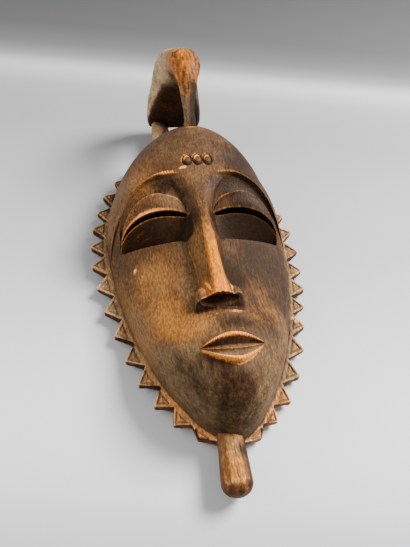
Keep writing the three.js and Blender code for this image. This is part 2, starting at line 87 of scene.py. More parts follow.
class Work(Enum):
    """What is done to a solid with another one."""

    JOIN = "UNION"
    CUT = "DIFFERENCE"


# ---- small curve tools


def ease(start: float, end: float, value: Array | float) -> Array:
    """Smooth step from 0 at start to 1 at end; start may be the larger one."""
    t = np.clip((np.asarray(value, float) - start) / (end - start), 0.0, 1.0)
    return t * t * (3.0 - 2.0 * t)


def lerp(a: Array | float, b: Array | float, t: Array | float) -> Array:
    """The value a share t of the way from a to b."""
    return a + (b - a) * t


def unit(value: Array | float) -> Array:
    """The value held between 0 and 1."""
    return np.clip(value, 0.0, 1.0)


def bump(value: Array | float, centre: float, width: float) -> Array:
    """A rounded hump of height 1 at centre."""
    return np.exp(-(((np.asarray(value, float) - centre) / width) ** 2))


def patch(x: Array, y: Array, at: tuple[float, float], size: tuple[float, float], turn: float = 0.0) -> Array:
    """A soft elliptical patch of height 1.

    Args:
        x: places across.
        y: places along.
        at: its middle.
        size: its half length along its own two directions.
        turn: how far it is turned, in degrees.

    Returns:
        Numbers from 0 to 1.
    """
    c, s = math.cos(math.radians(turn)), math.sin(math.radians(turn))
    u = (c * (x - at[0]) + s * (y - at[1])) / size[0]
    v = (-s * (x - at[0]) + c * (y - at[1])) / size[1]
    return np.exp(-(u * u + v * v))


@dataclass(frozen=True)
class Spot:
    """A soft elliptical patch of wear, dust, grime, staining or painted shade."""

    amount: float
    at: tuple[float, float]
    size: tuple[float, float]
    turn: float = 0.0


def spotted(x: Array, y: Array, spots: Sequence[Spot]) -> Array:
    """The sum of several soft patches.

    Args:
        x: places across.
        y: places along.
        spots: the patches.

    Returns:
        Numbers over 0.
    """
    total = np.zeros_like(x)
    for spot in spots:
        total += spot.amount * patch(x, y, spot.at, spot.size, spot.turn)
    return total


class Curve:
    """A smooth curve through a few points that never overshoots them."""

    def __init__(self, points: Sequence[tuple[float, float]]) -> None:
        """Prepares the slopes.

        Args:
            points: pairs of place and value, in rising order of place.
        """
        data = np.array(points, float)
        self.x, self.y = data[:, 0], data[:, 1]
        self.step = np.diff(self.x)
        rise = np.diff(self.y) / self.step
        self.slope = np.zeros(len(data))
        self.slope[0] = rise[0]
        for i in range(1, len(data) - 1):
            if rise[i - 1] * rise[i] > 0:
                self.slope[i] = 2 * rise[i - 1] * rise[i] / (rise[i - 1] + rise[i])

    def __call__(self, value: Array | float) -> Array:
        """Reads the curve.

        Args:
            value: places along it.

        Returns:
            Its value at each place.
        """
        v = np.clip(np.asarray(value, float), self.x[0], self.x[-1])
        i = np.clip(np.searchsorted(self.x, v, side="right") - 1, 0, len(self.step) - 1)
        w = self.step[i]
        t = (v - self.x[i]) / w
        return (
            self.y[i] * (1 + 2 * t) * (1 - t) ** 2
            + w * self.slope[i] * t * (1 - t) ** 2
            + self.y[i + 1] * t * t * (3 - 2 * t)
            + w * self.slope[i + 1] * t * t * (t - 1)
        )


def spline(points: Array, t: Array) -> Array:
    """A Catmull-Rom spline through points.

    Args:
        points: rows of coordinates.
        t: places along it, from 0 to 1.

    Returns:
        One row for each place.
    """
    p = np.asarray(points, float)
    last = len(p) - 1
    where = unit(t) * last
    i = np.clip(where.astype(int), 0, last - 1)
    u = (where - i)[:, None]
    p0 = np.where((i > 0)[:, None], p[np.maximum(i - 1, 0)], 2 * p[0] - p[1])
    p3 = np.where((i < last - 1)[:, None], p[np.minimum(i + 2, last)], 2 * p[last] - p[last - 1])
    p1, p2 = p[i], p[i + 1]
    return 0.5 * (
        2 * p1 + (p2 - p0) * u + (2 * p0 - 5 * p1 + 4 * p2 - p3) * u**2 + (3 * p1 - p0 - 3 * p2 + p3) * u**3
    )


class Ripple:
    """Smooth repeatable noise in space, a sum of a few waves, for the unevenness of hand carving."""

    def __init__(self, seed: int, size: float, waves: int = 14) -> None:
        """Draws the waves.

        Args:
            seed: which set of waves.
            size: length of a typical wave, in millimetres.
            waves: how many.
        """
        rng = np.random.default_rng(seed)
        turn = rng.normal(size=(waves, 3))
        turn /= np.linalg.norm(turn, axis=1, keepdims=True)
        self.rate = turn * (2 * math.pi / (size * rng.uniform(0.7, 1.6, waves)))[:, None]
        self.phase = rng.uniform(0, 2 * math.pi, waves)
        self.share = math.sqrt(2.0 / waves)

    def __call__(self, points: Array, stretch: tuple[float, float, float] = (1, 1, 1)) -> Array:
        """Noise of about unit strength at each point.

        Args:
            points: places, in millimetres.
            stretch: how much longer the waves are along x, y and z.

        Returns:
            One number for each point.
        """
        return np.sin((points / np.array(stretch)) @ self.rate.T + self.phase).sum(axis=1) * self.share


# ---- the carved form, as formulas


@dataclass
class FaceOutline:
    """The outline of the face seen from the front: a half ellipse over a blunt V."""

    half_width: float = 71.0
    widest_y: float = -8.0
    top_y: float = 112.0
    chin_y: float = -170.5

    def width(self, y: Array | float) -> Array:
        """Half width of the face.

        Args:
            y: heights along the face.

        Returns:
            The half width at each height.
        """
        y = np.asarray(y, float)
        up = unit((y - self.widest_y) / (self.top_y - self.widest_y))
        down = unit((self.widest_y - y) / (self.widest_y - self.chin_y))
        upper = np.sqrt(1 - up**2)
        lower = (1 - down**1.6) ** 0.6
        return self.half_width * np.where(y >= self.widest_y, upper, lower)

    def run(self, steps: int = 240) -> tuple[Array, Array]:
        """The right half of the outline.

        Args:
            steps: how many pieces it is measured in.

        Returns:
            Its points from the chin to the top, and their running length.
        """
        angle = np.linspace(0, math.pi, steps + 1)
        reach = np.where(angle < math.pi / 2, self.widest_y - self.chin_y, self.top_y - self.widest_y)
        y = self.widest_y - reach * np.cos(angle)
        points = np.stack([self.width(y), y], axis=1)
        length = np.concatenate([[0], np.cumsum(np.linalg.norm(np.diff(points, axis=0), axis=1))])
        return points, length


@dataclass(frozen=True)
class Flank:
    """One side of an arch over the eye, from its foot to the peak."""

    foot: float
    rise: float
    reach: float
    fullness: float
    root: float = 0.5

    def at(self, away: Array) -> Array:
        """Its value at a distance from the peak."""
        return self.foot + self.rise * (1 - unit(away / self.reach) ** self.fullness) ** self.root


@dataclass(frozen=True)
class Arch:
    """A line over the eye: two flanks that meet at a peak."""

    peak_x: float
    inner: Flank
    outer: Flank

    def __call__(self, ax: Array) -> Array:
        """Its value at each distance from the middle of the face."""
        return np.where(ax > self.peak_x, self.outer.at(ax - self.peak_x), self.inner.at(self.peak_x - ax))


@dataclass
class FaceForm:
    """Heights of the face over the back rim: the vault, the brows, the eyes and the nose.

    The upper edge of the eyelid runs along lid_y at the height lid_z. The middle of the slit runs along slit_y, and
    the slit's upper edge lies at the height slit_z.
    """

    outline: FaceOutline = field(default_factory=FaceOutline)
    foot_z: float = 8.2
    profile: tuple = (
        (-170.5, 8.2), (-168.5, 20), (-164, 32), (-155, 42.5), (-145, 48), (-130, 49.5), (-100, 46.5),
        (-60, 42), (-36, 42.5), (-10, 54), (10, 63.5), (24, 67.6), (42, 71.5),
    )
    apex: tuple = (42.0, 71.5)
    apex_fullness: float = 2.25
    lean: float = 4.0
    brow_outer: tuple = (68.0, -33.0)
    brow_inner_y: float = 13.5
    brow_inner_drop: float = 2.5
    brow_height: float = 2.2
    brow_width: float = 3.2
    brow_step: float = 1.4
    eye_inner: tuple = (9.5, -18.5)
    eye_outer: tuple = (59.4, -31.0)
    lid_y: Arch = Arch(31.0, Flank(-18.5, 16.2, 21.5, 2.9), Flank(-31.0, 28.7, 28.4, 2.0))
    lid_z: Arch = Arch(31.0, Flank(49.0, 7.3, 21.5, 2.0, 1.0), Flank(27.0, 29.3, 28.6, 1.8))
    slit_y: Arch = Arch(27.0, Flank(-18.5, 2.6, 17.5, 2.0, 1.0), Flank(-31.0, 15.1, 32.4, 1.7))
    slit_z: Arch = Arch(25.0, Flank(48.8, 2.2, 15.5, 2.0, 1.0), Flank(27.0, 24.0, 34.6, 2.5))
    ledge_y: float = -37.8
    ledge_rise: float = 5.0
    slit_gap: float = 1.05
    slit_drop: float = 4.1
    trough_depth: float = 3.0
    groove_depth: float = 6.8
    nose_ridge: tuple = ((-96, 55.3), (-60, 56), (-25, 57.5), (-5, 60.3), (3, 62), (12, 64.3))
    nose_half: tuple = (
        (-102, 15.6), (-97, 15.4), (-90, 14.2), (-84, 11.6), (-77, 10), (-67, 9.6), (-56, 10.7), (-45, 12),
        (-30, 11), (-22, 10.2), (-12, 10.2), (-4, 11.8), (2, 15.2), (8, 19.5), (16, 24), (21, 26),
    )
    nose_band: tuple = ((-96, 4.6), (-60, 3.8), (-30, 3.6), (-15, 4.6), (0, 7), (20, 14))
    nose_root_y: float = 21.0
    wing_at: tuple = (10.3, -94.0)
    wing_size: tuple = (6.4, 10.5)
    wing_top_z: float = 51.2

    def __post_init__(self) -> None:
        """Prepares the curves."""
        self.lower_crown = Curve(self.profile)
        self.ridge = Curve(self.nose_ridge)
        self.half = Curve(self.nose_half)
        self.band = Curve(self.nose_band)

    def crown(self, y: Array | float) -> Array:
        """Height of the vault along its middle.

        Args:
            y: places along the face.

        Returns:
            The height at each place.
        """
        y = np.asarray(y, float)
        t = unit((y - self.apex[0]) / (self.outline.top_y - self.apex[0]))
        upper = self.foot_z + (self.apex[1] - self.foot_z) * np.sqrt(1 - t**self.apex_fullness)
        return np.where(y <= self.apex[0], self.lower_crown(y), upper)

    def vault(self, x: Array | float, y: Array | float) -> Array:
        """Height of the plain vault of the head: a flat-topped cheek and jaw that turn into a round dome.

        Args:
            x: places across the face.
            y: places along the face.

        Returns:
            The height at each place.
        """
        x, y = np.asarray(x, float), np.asarray(y, float)
        width = np.maximum(self.outline.width(y), 0.01)
        lean = self.lean * ease(-5, 55, y) * (1 - unit(np.abs(x) / width) ** 3)
        t = unit(np.abs(x - lean) / width)
        cheekbone = 0.6 * (1 - t**1.4) + 0.4 * np.sqrt(1 - t**10)
        jaw = 0.35 * (1 - t**1.8) + 0.65 * np.sqrt(1 - t**8)
        cheek = lerp(cheekbone, jaw, ease(-90, -125, y))
        skull = np.where(x < 0, 1.8, 1.95)
        dome = np.sqrt(1 - t ** lerp(3.2, skull, ease(-5, 34, y)))
        return self.foot_z + (self.crown(y) - self.foot_z) * lerp(cheek, dome, ease(-40, 5, y))

    def brow_y(self, ax: Array) -> Array:
        """The line of the brow.

        Args:
            ax: distances from the middle of the face.

        Returns:
            The brow's y at each distance.
        """
        drop = self.brow_inner_drop * (1 - ease(12, 34, ax))
        rise = self.brow_inner_y - self.brow_outer[1]
        return self.brow_outer[1] - drop + rise * np.sqrt(1 - unit(ax / self.brow_outer[0]) ** 3)

    def brow_fade(self, ax: Array) -> Array:
        """How far the brow stands out, 0 between the brows."""
        return ease(11, 18, ax)

    def brow_lift(self, x: Array, y: Array) -> Array:
        """The raised band above the brow line.

        Args:
            x: places across the face.
            y: places along the face.

        Returns:
            How far it stands over the vault.
        """
        ax = np.abs(x)
        above = y - self.brow_y(ax)
        fade = self.brow_fade(ax) * (1 - 0.6 * ease(60, 70, ax))
        return np.where(above < 0, 0.0, self.brow_height * fade * np.exp(-((above / self.brow_width) ** 2)))

    def ledge(self, ax: Array) -> Array:
        """The sharp upper edge of the cheek."""
        return self.ledge_y + self.ledge_rise * unit((ax - self.eye_inner[0]) / 50) ** 0.6

    def along_eye(self, ax: Array) -> Array:
        """0 at the inner corner of the eye and 1 at the outer one."""
        return unit((ax - self.eye_inner[0]) / (self.eye_outer[0] - self.eye_inner[0]))

    def openness(self, ax: Array) -> Array:
        """How open the slit is along the eye."""
        return np.sqrt(1 - np.abs(2 * self.along_eye(ax) - 1) ** 5)

    def inside_eye(self, ax: Array) -> Array:
        """1 between the corners of the eye."""
        inner, outer = self.eye_inner[0], self.eye_outer[0]
        return ease(inner - 2.5, inner, ax) * (1 - ease(outer - 0.6, outer + 0.8, ax))

    def nose(self, x: Array, y: Array) -> Array:
        """Height of the nose's upper side, the higher one of its bridge and its wings.

        Args:
            x: places across the face.
            y: places along the face.

        Returns:
            The height at each place.
        """
        ax, half, band = np.abs(x), self.half(y), self.band(y)
        drop = np.maximum(self.ridge(y) - self.vault(half, y) + 0.5, 3)
        side = unit((ax - 0.55 * band) / (half - 0.55 * band))
        bridge = self.ridge(y) - drop * (0.06 * (ax / half) ** 2 + 0.94 * side**1.5)
        bridge = bridge - 7 * ease(8, self.nose_root_y, y)
        away = ((ax - self.wing_at[0]) / self.wing_size[0]) ** 2 + ((y - self.wing_at[1]) / self.wing_size[1]) ** 2
        floor = self.vault(ax, y) - 2
        wing = floor + (self.wing_top_z - floor) * np.sqrt(unit(1 - away)) - 9 * ease(0.8, 1.0, away)
        return np.maximum(bridge, wing)

    def eye_lines(self, x: Array) -> tuple[Array, Array]:
        """The eight lines that the rows of the mesh follow, from the cheek's edge to the brow.

        Args:
            x: places across, one for each column and row.

        Returns:
            The true y of each line and its lift over the vault, with the lines first.
        """
        ax = np.abs(x)
        inside, gap = self.inside_eye(ax), self.slit_gap * self.openness(ax)
        groove = np.sqrt(unit(1 - np.abs(2 * self.along_eye(ax) - 0.95) ** 3))
        ys = [
            self.ledge(ax), self.ledge(ax) + 0.7, self.slit_y(ax) - gap, self.slit_y(ax) + gap,
            self.lid_y(ax), self.lid_y(ax) + 0.7, self.brow_y(ax) - 0.9, self.brow_y(ax),
        ]
        for k in range(1, len(ys)):
            ys[k] = np.maximum(ys[k], ys[k - 1] + 0.35)
        lifts = [
            np.zeros_like(ax),
            -self.groove_depth * groove * inside,
            inside * (self.slit_z(ax) - self.slit_drop * self.openness(ax) - self.vault(x, ys[2])),
            inside * (self.slit_z(ax) - self.vault(x, ys[3])),
            inside * (self.lid_z(ax) - self.vault(x, ys[4])),
            -self.trough_depth * inside,
            -self.brow_step * self.brow_fade(ax) * (1 - ease(62, 69, ax)),
            self.brow_lift(x, ys[7]),
        ]
        return np.stack(ys), np.stack(lifts)


# Row numbers of the eight carved lines, how far the surface swells between two of them, and the rows that they move.
EYE_NOMINALS = np.array([-36.0, -35.0, -21.0, -18.0, -6.0, -5.0, 11.0, 12.0])
EYE_SWELL = np.array([0.0, 1.2, 0.0, 0.9, 0.0, -1.3, 0.0])
EYE_ZONE = (-60.0, 44.0)
EYE_PASSES = 10


def pick(table: Array, index: Array) -> Array:
    """One row of a table for each place, by its number."""
    return np.take_along_axis(table, index[None], axis=0)[0]


def face_surface(form: FaceForm, nominals: Array, fractions: Array) -> Array:
    """Points of the front of the face, in rows that follow the carved lines round the eyes.

    Args:
        form: the face.
        nominals: the row numbers, which are heights where no carved line is near.
        fractions: the columns, as shares of the half width, from -1 to 1.

    Returns:
        An array of rows, columns and x, y, z.
    """
    nominal = np.repeat(nominals[:, None], len(fractions), axis=1)
    share = np.repeat(fractions[None, :], len(nominals), axis=0)
    y = nominal.copy()
    x = form.outline.width(y) * share
    lift = form.brow_lift(x, y)
    zone = (nominals > EYE_ZONE[0]) & (nominals < EYE_ZONE[1])
    n, s = nominal[zone], share[zone]
    k = np.clip(np.searchsorted(EYE_NOMINALS, n, side="left") - 1, 0, len(EYE_SWELL) - 1)
    t = unit((n - EYE_NOMINALS[k]) / (EYE_NOMINALS[k + 1] - EYE_NOMINALS[k]))
    below, above = n <= EYE_NOMINALS[0], n >= EYE_NOMINALS[-1]
    yz, xz = y[zone], x[zone]
    lz = np.zeros_like(yz)
    for _ in range(EYE_PASSES):
        ys, lifts = form.eye_lines(xz)
        inside_y = lerp(pick(ys, k), pick(ys, k + 1), t)
        low_y = lerp(EYE_ZONE[0], ys[0], (n - EYE_ZONE[0]) / (EYE_NOMINALS[0] - EYE_ZONE[0]))
        high_y = lerp(ys[-1], EYE_ZONE[1], (n - EYE_NOMINALS[-1]) / (EYE_ZONE[1] - EYE_NOMINALS[-1]))
        yz = np.where(below, low_y, np.where(above, high_y, inside_y))
        swell = EYE_SWELL[k] * 4 * t * (1 - t) * form.inside_eye(np.abs(xz))
        inside_l = lerp(pick(lifts, k), pick(lifts, k + 1), t) + swell
        lz = np.where(below, 0.0, np.where(above, form.brow_lift(xz, yz), inside_l))
        xz = form.outline.width(yz) * s
    y[zone], x[zone], lift[zone] = yz, xz, lz
    return np.stack([x, y, form.vault(x, y) + lift], axis=2)


# ---- making meshes


@dataclass
class Bench:
    """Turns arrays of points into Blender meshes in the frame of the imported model."""

    offset: tuple[float, float, float] = (0.0, 0.0, 0.0)

    def to_world(self, points: Array) -> Array:
        """Carver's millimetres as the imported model's metres."""
        return (np.asarray(points, float) + np.array(self.offset)) * MM

    def to_carver(self, points: Array) -> Array:
        """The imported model's metres as carver's millimetres."""
        return np.asarray(points, float) / MM - np.array(self.offset)

    def make(self, name: str, points: Array, faces: Sequence) -> Object:
        """A mesh object from points and faces.

        Args:
            name: the piece's name.
            points: its vertices, in carver's millimetres.
            faces: lists of vertex numbers.

        Returns:
            The new object, linked to the scene.
        """
        mesh = bpy.data.meshes.new(name)
        mesh.from_pydata(self.to_world(points).tolist(), [], faces)
        mesh.validate()
        obj = bpy.data.objects.new(name, mesh)
        bpy.context.scene.collection.objects.link(obj)
        return obj

    def loft(self, name: str, sections: Array) -> Object:
        """A closed solid through rings of equal length.

        Args:
            name: the piece's name.
            sections: rings, points in a ring, and x, y, z; each ring runs anticlockwise seen from its end.

        Returns:
            The new object.
        """
        rings, count, _ = sections.shape
        points = np.concatenate([sections.reshape(-1, 3), sections[0].mean(0)[None], sections[-1].mean(0)[None]])
        j = np.arange(count)
        k = (j + 1) % count
        faces = []
        for i in range(rings - 1):
            a, b = i * count, (i + 1) * count
            faces += np.stack([a + j, a + k, b + k, b + j], axis=1).tolist()
        first, last = rings * count, rings * count + 1
        faces += np.stack([np.full(count, first), k, j], axis=1).tolist()
        end = (rings - 1) * count
        faces += np.stack([np.full(count, last), end + j, end + k], axis=1).tolist()
        return self.make(name, points, faces)

    def vault_solid(self, name: str, grid: Array, chin: Array, top: Array, floor_z: float) -> Object:
        """A domed surface closed by upright sides and a flat underside.

        Args:
            name: the piece's name.
            grid: rows, columns and x, y, z, from the chin up and from left to right.
            chin: the point that closes the lowest row.
            top: the point that closes the highest row.
            floor_z: height of the underside.

        Returns:
            The new object.
        """
        rows, cols, _ = grid.shape
        n = rows * cols
        ends = np.array([chin, top, [chin[0], chin[1], floor_z], [top[0], top[1], floor_z]], float)
        right, left = grid[:, -1].copy(), grid[:, 0].copy()
        right[:, 2] = left[:, 2] = floor_z
        centre = np.array([[0.0, 0.0, floor_z]])
        points = np.concatenate([grid.reshape(-1, 3), ends, right, left, centre])
        chin_i, top_i, chin_f, top_f = n, n + 1, n + 2, n + 3
        right_i = n + 4 + np.arange(rows)
        left_i = n + 4 + rows + np.arange(rows)
        number = np.arange(n).reshape(rows, cols)
        a, b, c, d = number[:-1, :-1], number[:-1, 1:], number[1:, 1:], number[1:, :-1]
        faces = np.stack([a, b, c, d], axis=2).reshape(-1, 4).tolist()
        for i in range(rows - 1):
            faces.append([right_i[i], right_i[i + 1], number[i + 1, -1], number[i, -1]])
            faces.append([left_i[i + 1], left_i[i], number[i, 0], number[i + 1, 0]])
        for j in range(cols - 1):
            faces.append([chin_i, number[0, j + 1], number[0, j]])
            faces.append([top_i, number[-1, j], number[-1, j + 1]])
        faces.append([chin_f, right_i[0], number[0, -1], chin_i])
        faces.append([left_i[0], chin_f, chin_i, number[0, 0]])
        faces.append([right_i[-1], top_f, top_i, number[-1, -1]])
        faces.append([top_f, left_i[-1], number[-1, 0], top_i])
        rim = [chin_f, *right_i.tolist(), top_f, *left_i[::-1].tolist()]
        middle = len(points) - 1
        faces += [[middle, rim[(i + 1) % len(rim)], v] for i, v in enumerate(rim)]
        return self.make(name, points, [[int(v) for v in f] for f in faces])

    def combine(self, base: Object, other: Object, work: Work) -> None:
        """Joins another solid to the base, or cuts it out, and deletes the other one.

        Args:
            base: the solid that is changed.
            other: the solid that is added or taken away.
            work: whether it is joined or cut out.
        """
        step = base.modifiers.new(work.name, "BOOLEAN")
        step.operation, step.object, step.solver = work.value, other, "MANIFOLD"
        self.settle(base)
        spare = other.data
        bpy.data.objects.remove(other, do_unlink=True)
        bpy.data.meshes.remove(spare)

    def settle(self, obj: Object) -> None:
        """Applies an object's modifiers to its mesh.

        Args:
            obj: the object.
        """
        graph = bpy.context.evaluated_depsgraph_get()
        mesh = bpy.data.meshes.new_from_object(obj.evaluated_get(graph))
        old = obj.data
        obj.modifiers.clear()
        obj.data = mesh
        mesh.name = obj.name
        bpy.data.meshes.remove(old)

    def read(self, obj: Object, name: str) -> Array:
        """Reads three numbers from each vertex of an object.

        Args:
            obj: the object.
            name: what they are, as Blender calls it.

        Returns:
            One row for each vertex.
        """
        flat = np.empty(len(obj.data.vertices) * 3)
        obj.data.vertices.foreach_get(name, flat)
        return flat.reshape(-1, 3)

    def coordinates(self, obj: Object) -> Array:
        """An object's vertices, in carver's millimetres."""
        return self.to_carver(self.read(obj, "co"))

    def normals(self, obj: Object) -> Array:
        """An object's vertex normals."""
        return self.read(obj, "normal")

    def move_points(self, obj: Object, points: Array) -> None:
        """Gives an object's vertices new places, in carver's millimetres."""
        obj.data.vertices.foreach_set("co", self.to_world(points).ravel())
        obj.data.update()

    def store(self, obj: Object, name: Attribute, values: Array) -> None:
        """Stores one number for each vertex, for the materials to read."""
        layer = obj.data.attributes.get(name.value) or obj.data.attributes.new(name.value, "FLOAT", "POINT")
        layer.data.foreach_set("value", np.asarray(values, np.float32))

    def finish_mesh(self, obj: Object, crisp_degrees: float) -> None:
        """Smooth shading with crisp edges where faces meet at more than an angle."""
        obj.data.shade_smooth()
        obj.data.set_sharp_from_angle(angle=math.radians(crisp_degrees))

    def edge_ends(self, obj: Object) -> tuple[Array, Array]:
        """Finds the two ends of each edge.

        Args:
            obj: the object.

        Returns:
            The vertex numbers at the first ends, and those at the second ends.
        """
        ends = np.empty(len(obj.data.edges) * 2, np.int32)
        obj.data.edges.foreach_get("vertices", ends)
        return ends[0::2], ends[1::2]

    def relax(self, obj: Object, amount: Array, passes: int) -> None:
        """Moves vertices towards the middle of their neighbours.

        Args:
            obj: the mesh.
            amount: how strongly each vertex is moved, from 0 to 1.
            passes: how many times.
        """
        points = self.coordinates(obj)
        a, b = self.edge_ends(obj)
        used = (amount[a] > 0.001) | (amount[b] > 0.001)
        a, b = a[used], b[used]
        count = len(points)
        ties = np.maximum(np.bincount(a, minlength=count) + np.bincount(b, minlength=count), 1)
        for _ in range(passes):
            total = np.stack([
                np.bincount(a, points[b, i], count) + np.bincount(b, points[a, i], count) for i in range(3)
            ], axis=1)
            points += 0.5 * amount[:, None] * (total / ties[:, None] - points)
        self.move_points(obj, points)

    def curvature(self, obj: Object, passes: int) -> Array:
        """How far each vertex stands out from its neighbours, per millimetre of distance, smoothed.

        Args:
            obj: the mesh.
            passes: how many times neighbours are averaged.

        Returns:
            Positive numbers on edges and ridges, negative ones in grooves.
        """
        points, normals = self.coordinates(obj), self.normals(obj)
        count = len(points)
        a, b = self.edge_ends(obj)
        along = points[b] - points[a]
        squared = np.maximum((along**2).sum(1), 0.04)
        ties = np.maximum(np.bincount(a, minlength=count) + np.bincount(b, minlength=count), 1)
        value = -np.bincount(a, (normals[a] * along).sum(1) / squared, count)
        value += np.bincount(b, (normals[b] * along).sum(1) / squared, count)
        value /= ties
        for _ in range(passes):
            spread = np.bincount(a, value[b], count) + np.bincount(b, value[a], count)
            value = 0.4 * value + 0.6 * spread / ties
        return value


def hollow_relief(bench: Bench, obj: Object, reach: float) -> Array:
    """How far each vertex lies over the mean height of its surroundings, seen from the front.

    Args:
        bench: the mesh maker.
        obj: the mesh.
        reach: how far its surroundings go, in millimetres.

    Returns:
        Millimetres for each vertex, positive on high places.
    """
    tree = BVHTree.FromObject(obj, bpy.context.evaluated_depsgraph_get())
    points = bench.coordinates(obj)
    step = 1.0
    margin, above = 4.0, 300.0
    low, high = points.min(0) - margin, points.max(0) + margin
    xs, ys = np.arange(low[0], high[0], step), np.arange(low[1], high[1], step)
    heights = np.zeros((len(ys), len(xs)))
    down = Vector((0, 0, -1))
    for i, y in enumerate(ys):
        starts = bench.to_world(np.stack([xs, np.full_like(xs, y), np.full_like(xs, above)], axis=1))
        for j, start in enumerate(starts):
            hit = tree.ray_cast(Vector(start), down)[0]
            heights[i, j] = hit.z / MM if hit else 0.0
    size = max(1, int(round(reach / step)))
    kernel = np.exp(-0.5 * (np.arange(-3 * size, 3 * size + 1) / size) ** 2)
    kernel /= kernel.sum()
    blurred = heights
    for axis in (1, 0):
        blurred = np.apply_along_axis(np.convolve, axis, blurred, kernel, "same")
    u = np.clip((points[:, 0] - low[0]) / step, 0, len(xs) - 1.001)
    v = np.clip((points[:, 1] - low[1]) / step, 0, len(ys) - 1.001)
    i, j = v.astype(int), u.astype(int)
    fu, fv = u - j, v - i
    sample = (
        blurred[i, j] * (1 - fu) * (1 - fv) + blurred[i, j + 1] * fu * (1 - fv)
        + blurred[i + 1, j] * (1 - fu) * fv + blurred[i + 1, j + 1] * fu * fv
    )
    return points[:, 2] - sample


# ---- wood finishes


def new_group(
    name: str, inputs: dict[str, tuple[str, float]], outputs: dict[str, str]
) -> tuple[NodeTree, Node, Node]:
    """An empty shader node group with named sockets.

    Args:
        name: the group's name.
        inputs: socket names to their kind and first value.
        outputs: socket names to their kind.

    Returns:
        The group, its input node and its output node.
    """
    group = bpy.data.node_groups.new(name, "ShaderNodeTree")
    for label, (kind, value) in inputs.items():
        socket = group.interface.new_socket(name=label, in_out="INPUT", socket_type=f"NodeSocket{kind}")
        if kind != "Vector":
            socket.default_value = value
    for label, kind in outputs.items():
        group.interface.new_socket(name=label, in_out="OUTPUT", socket_type=f"NodeSocket{kind}")
    return group, group.nodes.new("NodeGroupInput"), group.nodes.new("NodeGroupOutput")


Feed = NodeSocket | float


class Wiring:
    """Short ways to add and join shader nodes in one tree."""

    def __init__(self, tree: NodeTree) -> None:
        """Works on that node tree."""
        self.tree = tree

    def add(self, kind: str, inputs: dict | None = None, **settings: object) -> Node:
        """A new node with settings and inputs.

        Args:
            kind: the node's type, without the word ShaderNode.
            inputs: socket names or numbers to a value or to another node's socket.
            settings: the node's own properties.

        Returns:
            The node.
        """
        node = self.tree.nodes.new(f"ShaderNode{kind}")
        for key, value in settings.items():
            setattr(node, key, value)
        for key, value in (inputs or {}).items():
            if isinstance(value, NodeSocket):
                self.tree.links.new(value, node.inputs[key])
            else:
                node.inputs[key].default_value = value
        return node

    def math(self, operation: str, a: Feed, b: Feed = 0.0, clamp: bool = False) -> NodeSocket:
        """The result of a math node."""
        return self.add("Math", {0: a, 1: b}, operation=operation, use_clamp=clamp).outputs[0]

    def weigh(self, *parts: tuple[NodeSocket, float], centre: float = 0.0) -> NodeSocket:
        """The weighted sum of several values.

        Args:
            parts: pairs of a value and its weight.
            centre: what each value is measured from.

        Returns:
            The sum.
        """
        total = None
        for value, weight in parts:
            value = self.math("SUBTRACT", value, centre) if centre else value
            term = self.math("MULTIPLY", value, weight)
            total = term if total is None else self.math("ADD", total, term)
        return total

    def range(self, value: Feed, low: float, high: float, to_low: float = 0.0, to_high: float = 1.0) -> NodeSocket:
        """A value mapped smoothly from one range to another."""
        node = self.add("MapRange", {0: value, 1: low, 2: high, 3: to_low, 4: to_high}, interpolation_type="SMOOTHSTEP")
        return node.outputs[0]

    def noise(self, vector: NodeSocket, scale: float, detail: float, rough: float) -> NodeSocket:
        """A noise texture's factor, with its scale in waves per metre."""
        node = self.add("TexNoise", {"Vector": vector, "Scale": scale, "Detail": detail, "Roughness": rough})
        return node.outputs["Fac"]

    def stretch(self, vector: NodeSocket, scale: Feed | tuple[float, float, float]) -> NodeSocket:
        """A vector multiplied by a scale."""
        return self.add("VectorMath", {0: vector, 1: scale}, operation="MULTIPLY").outputs[0]

    def blend(self, amount: Feed, a: Feed | Colour, b: Feed | Colour, mode: str = "MIX") -> NodeSocket:
        """Two colours mixed."""
        node = self.add("Mix", {0: amount, 6: a, 7: b}, data_type="RGBA", blend_type=mode, clamp_factor=True)
        return node.outputs[2]

    def attribute(self, name: Attribute) -> NodeSocket:
        """A number stored on the vertices."""
        return self.add("Attribute", attribute_name=name.value).outputs["Fac"]


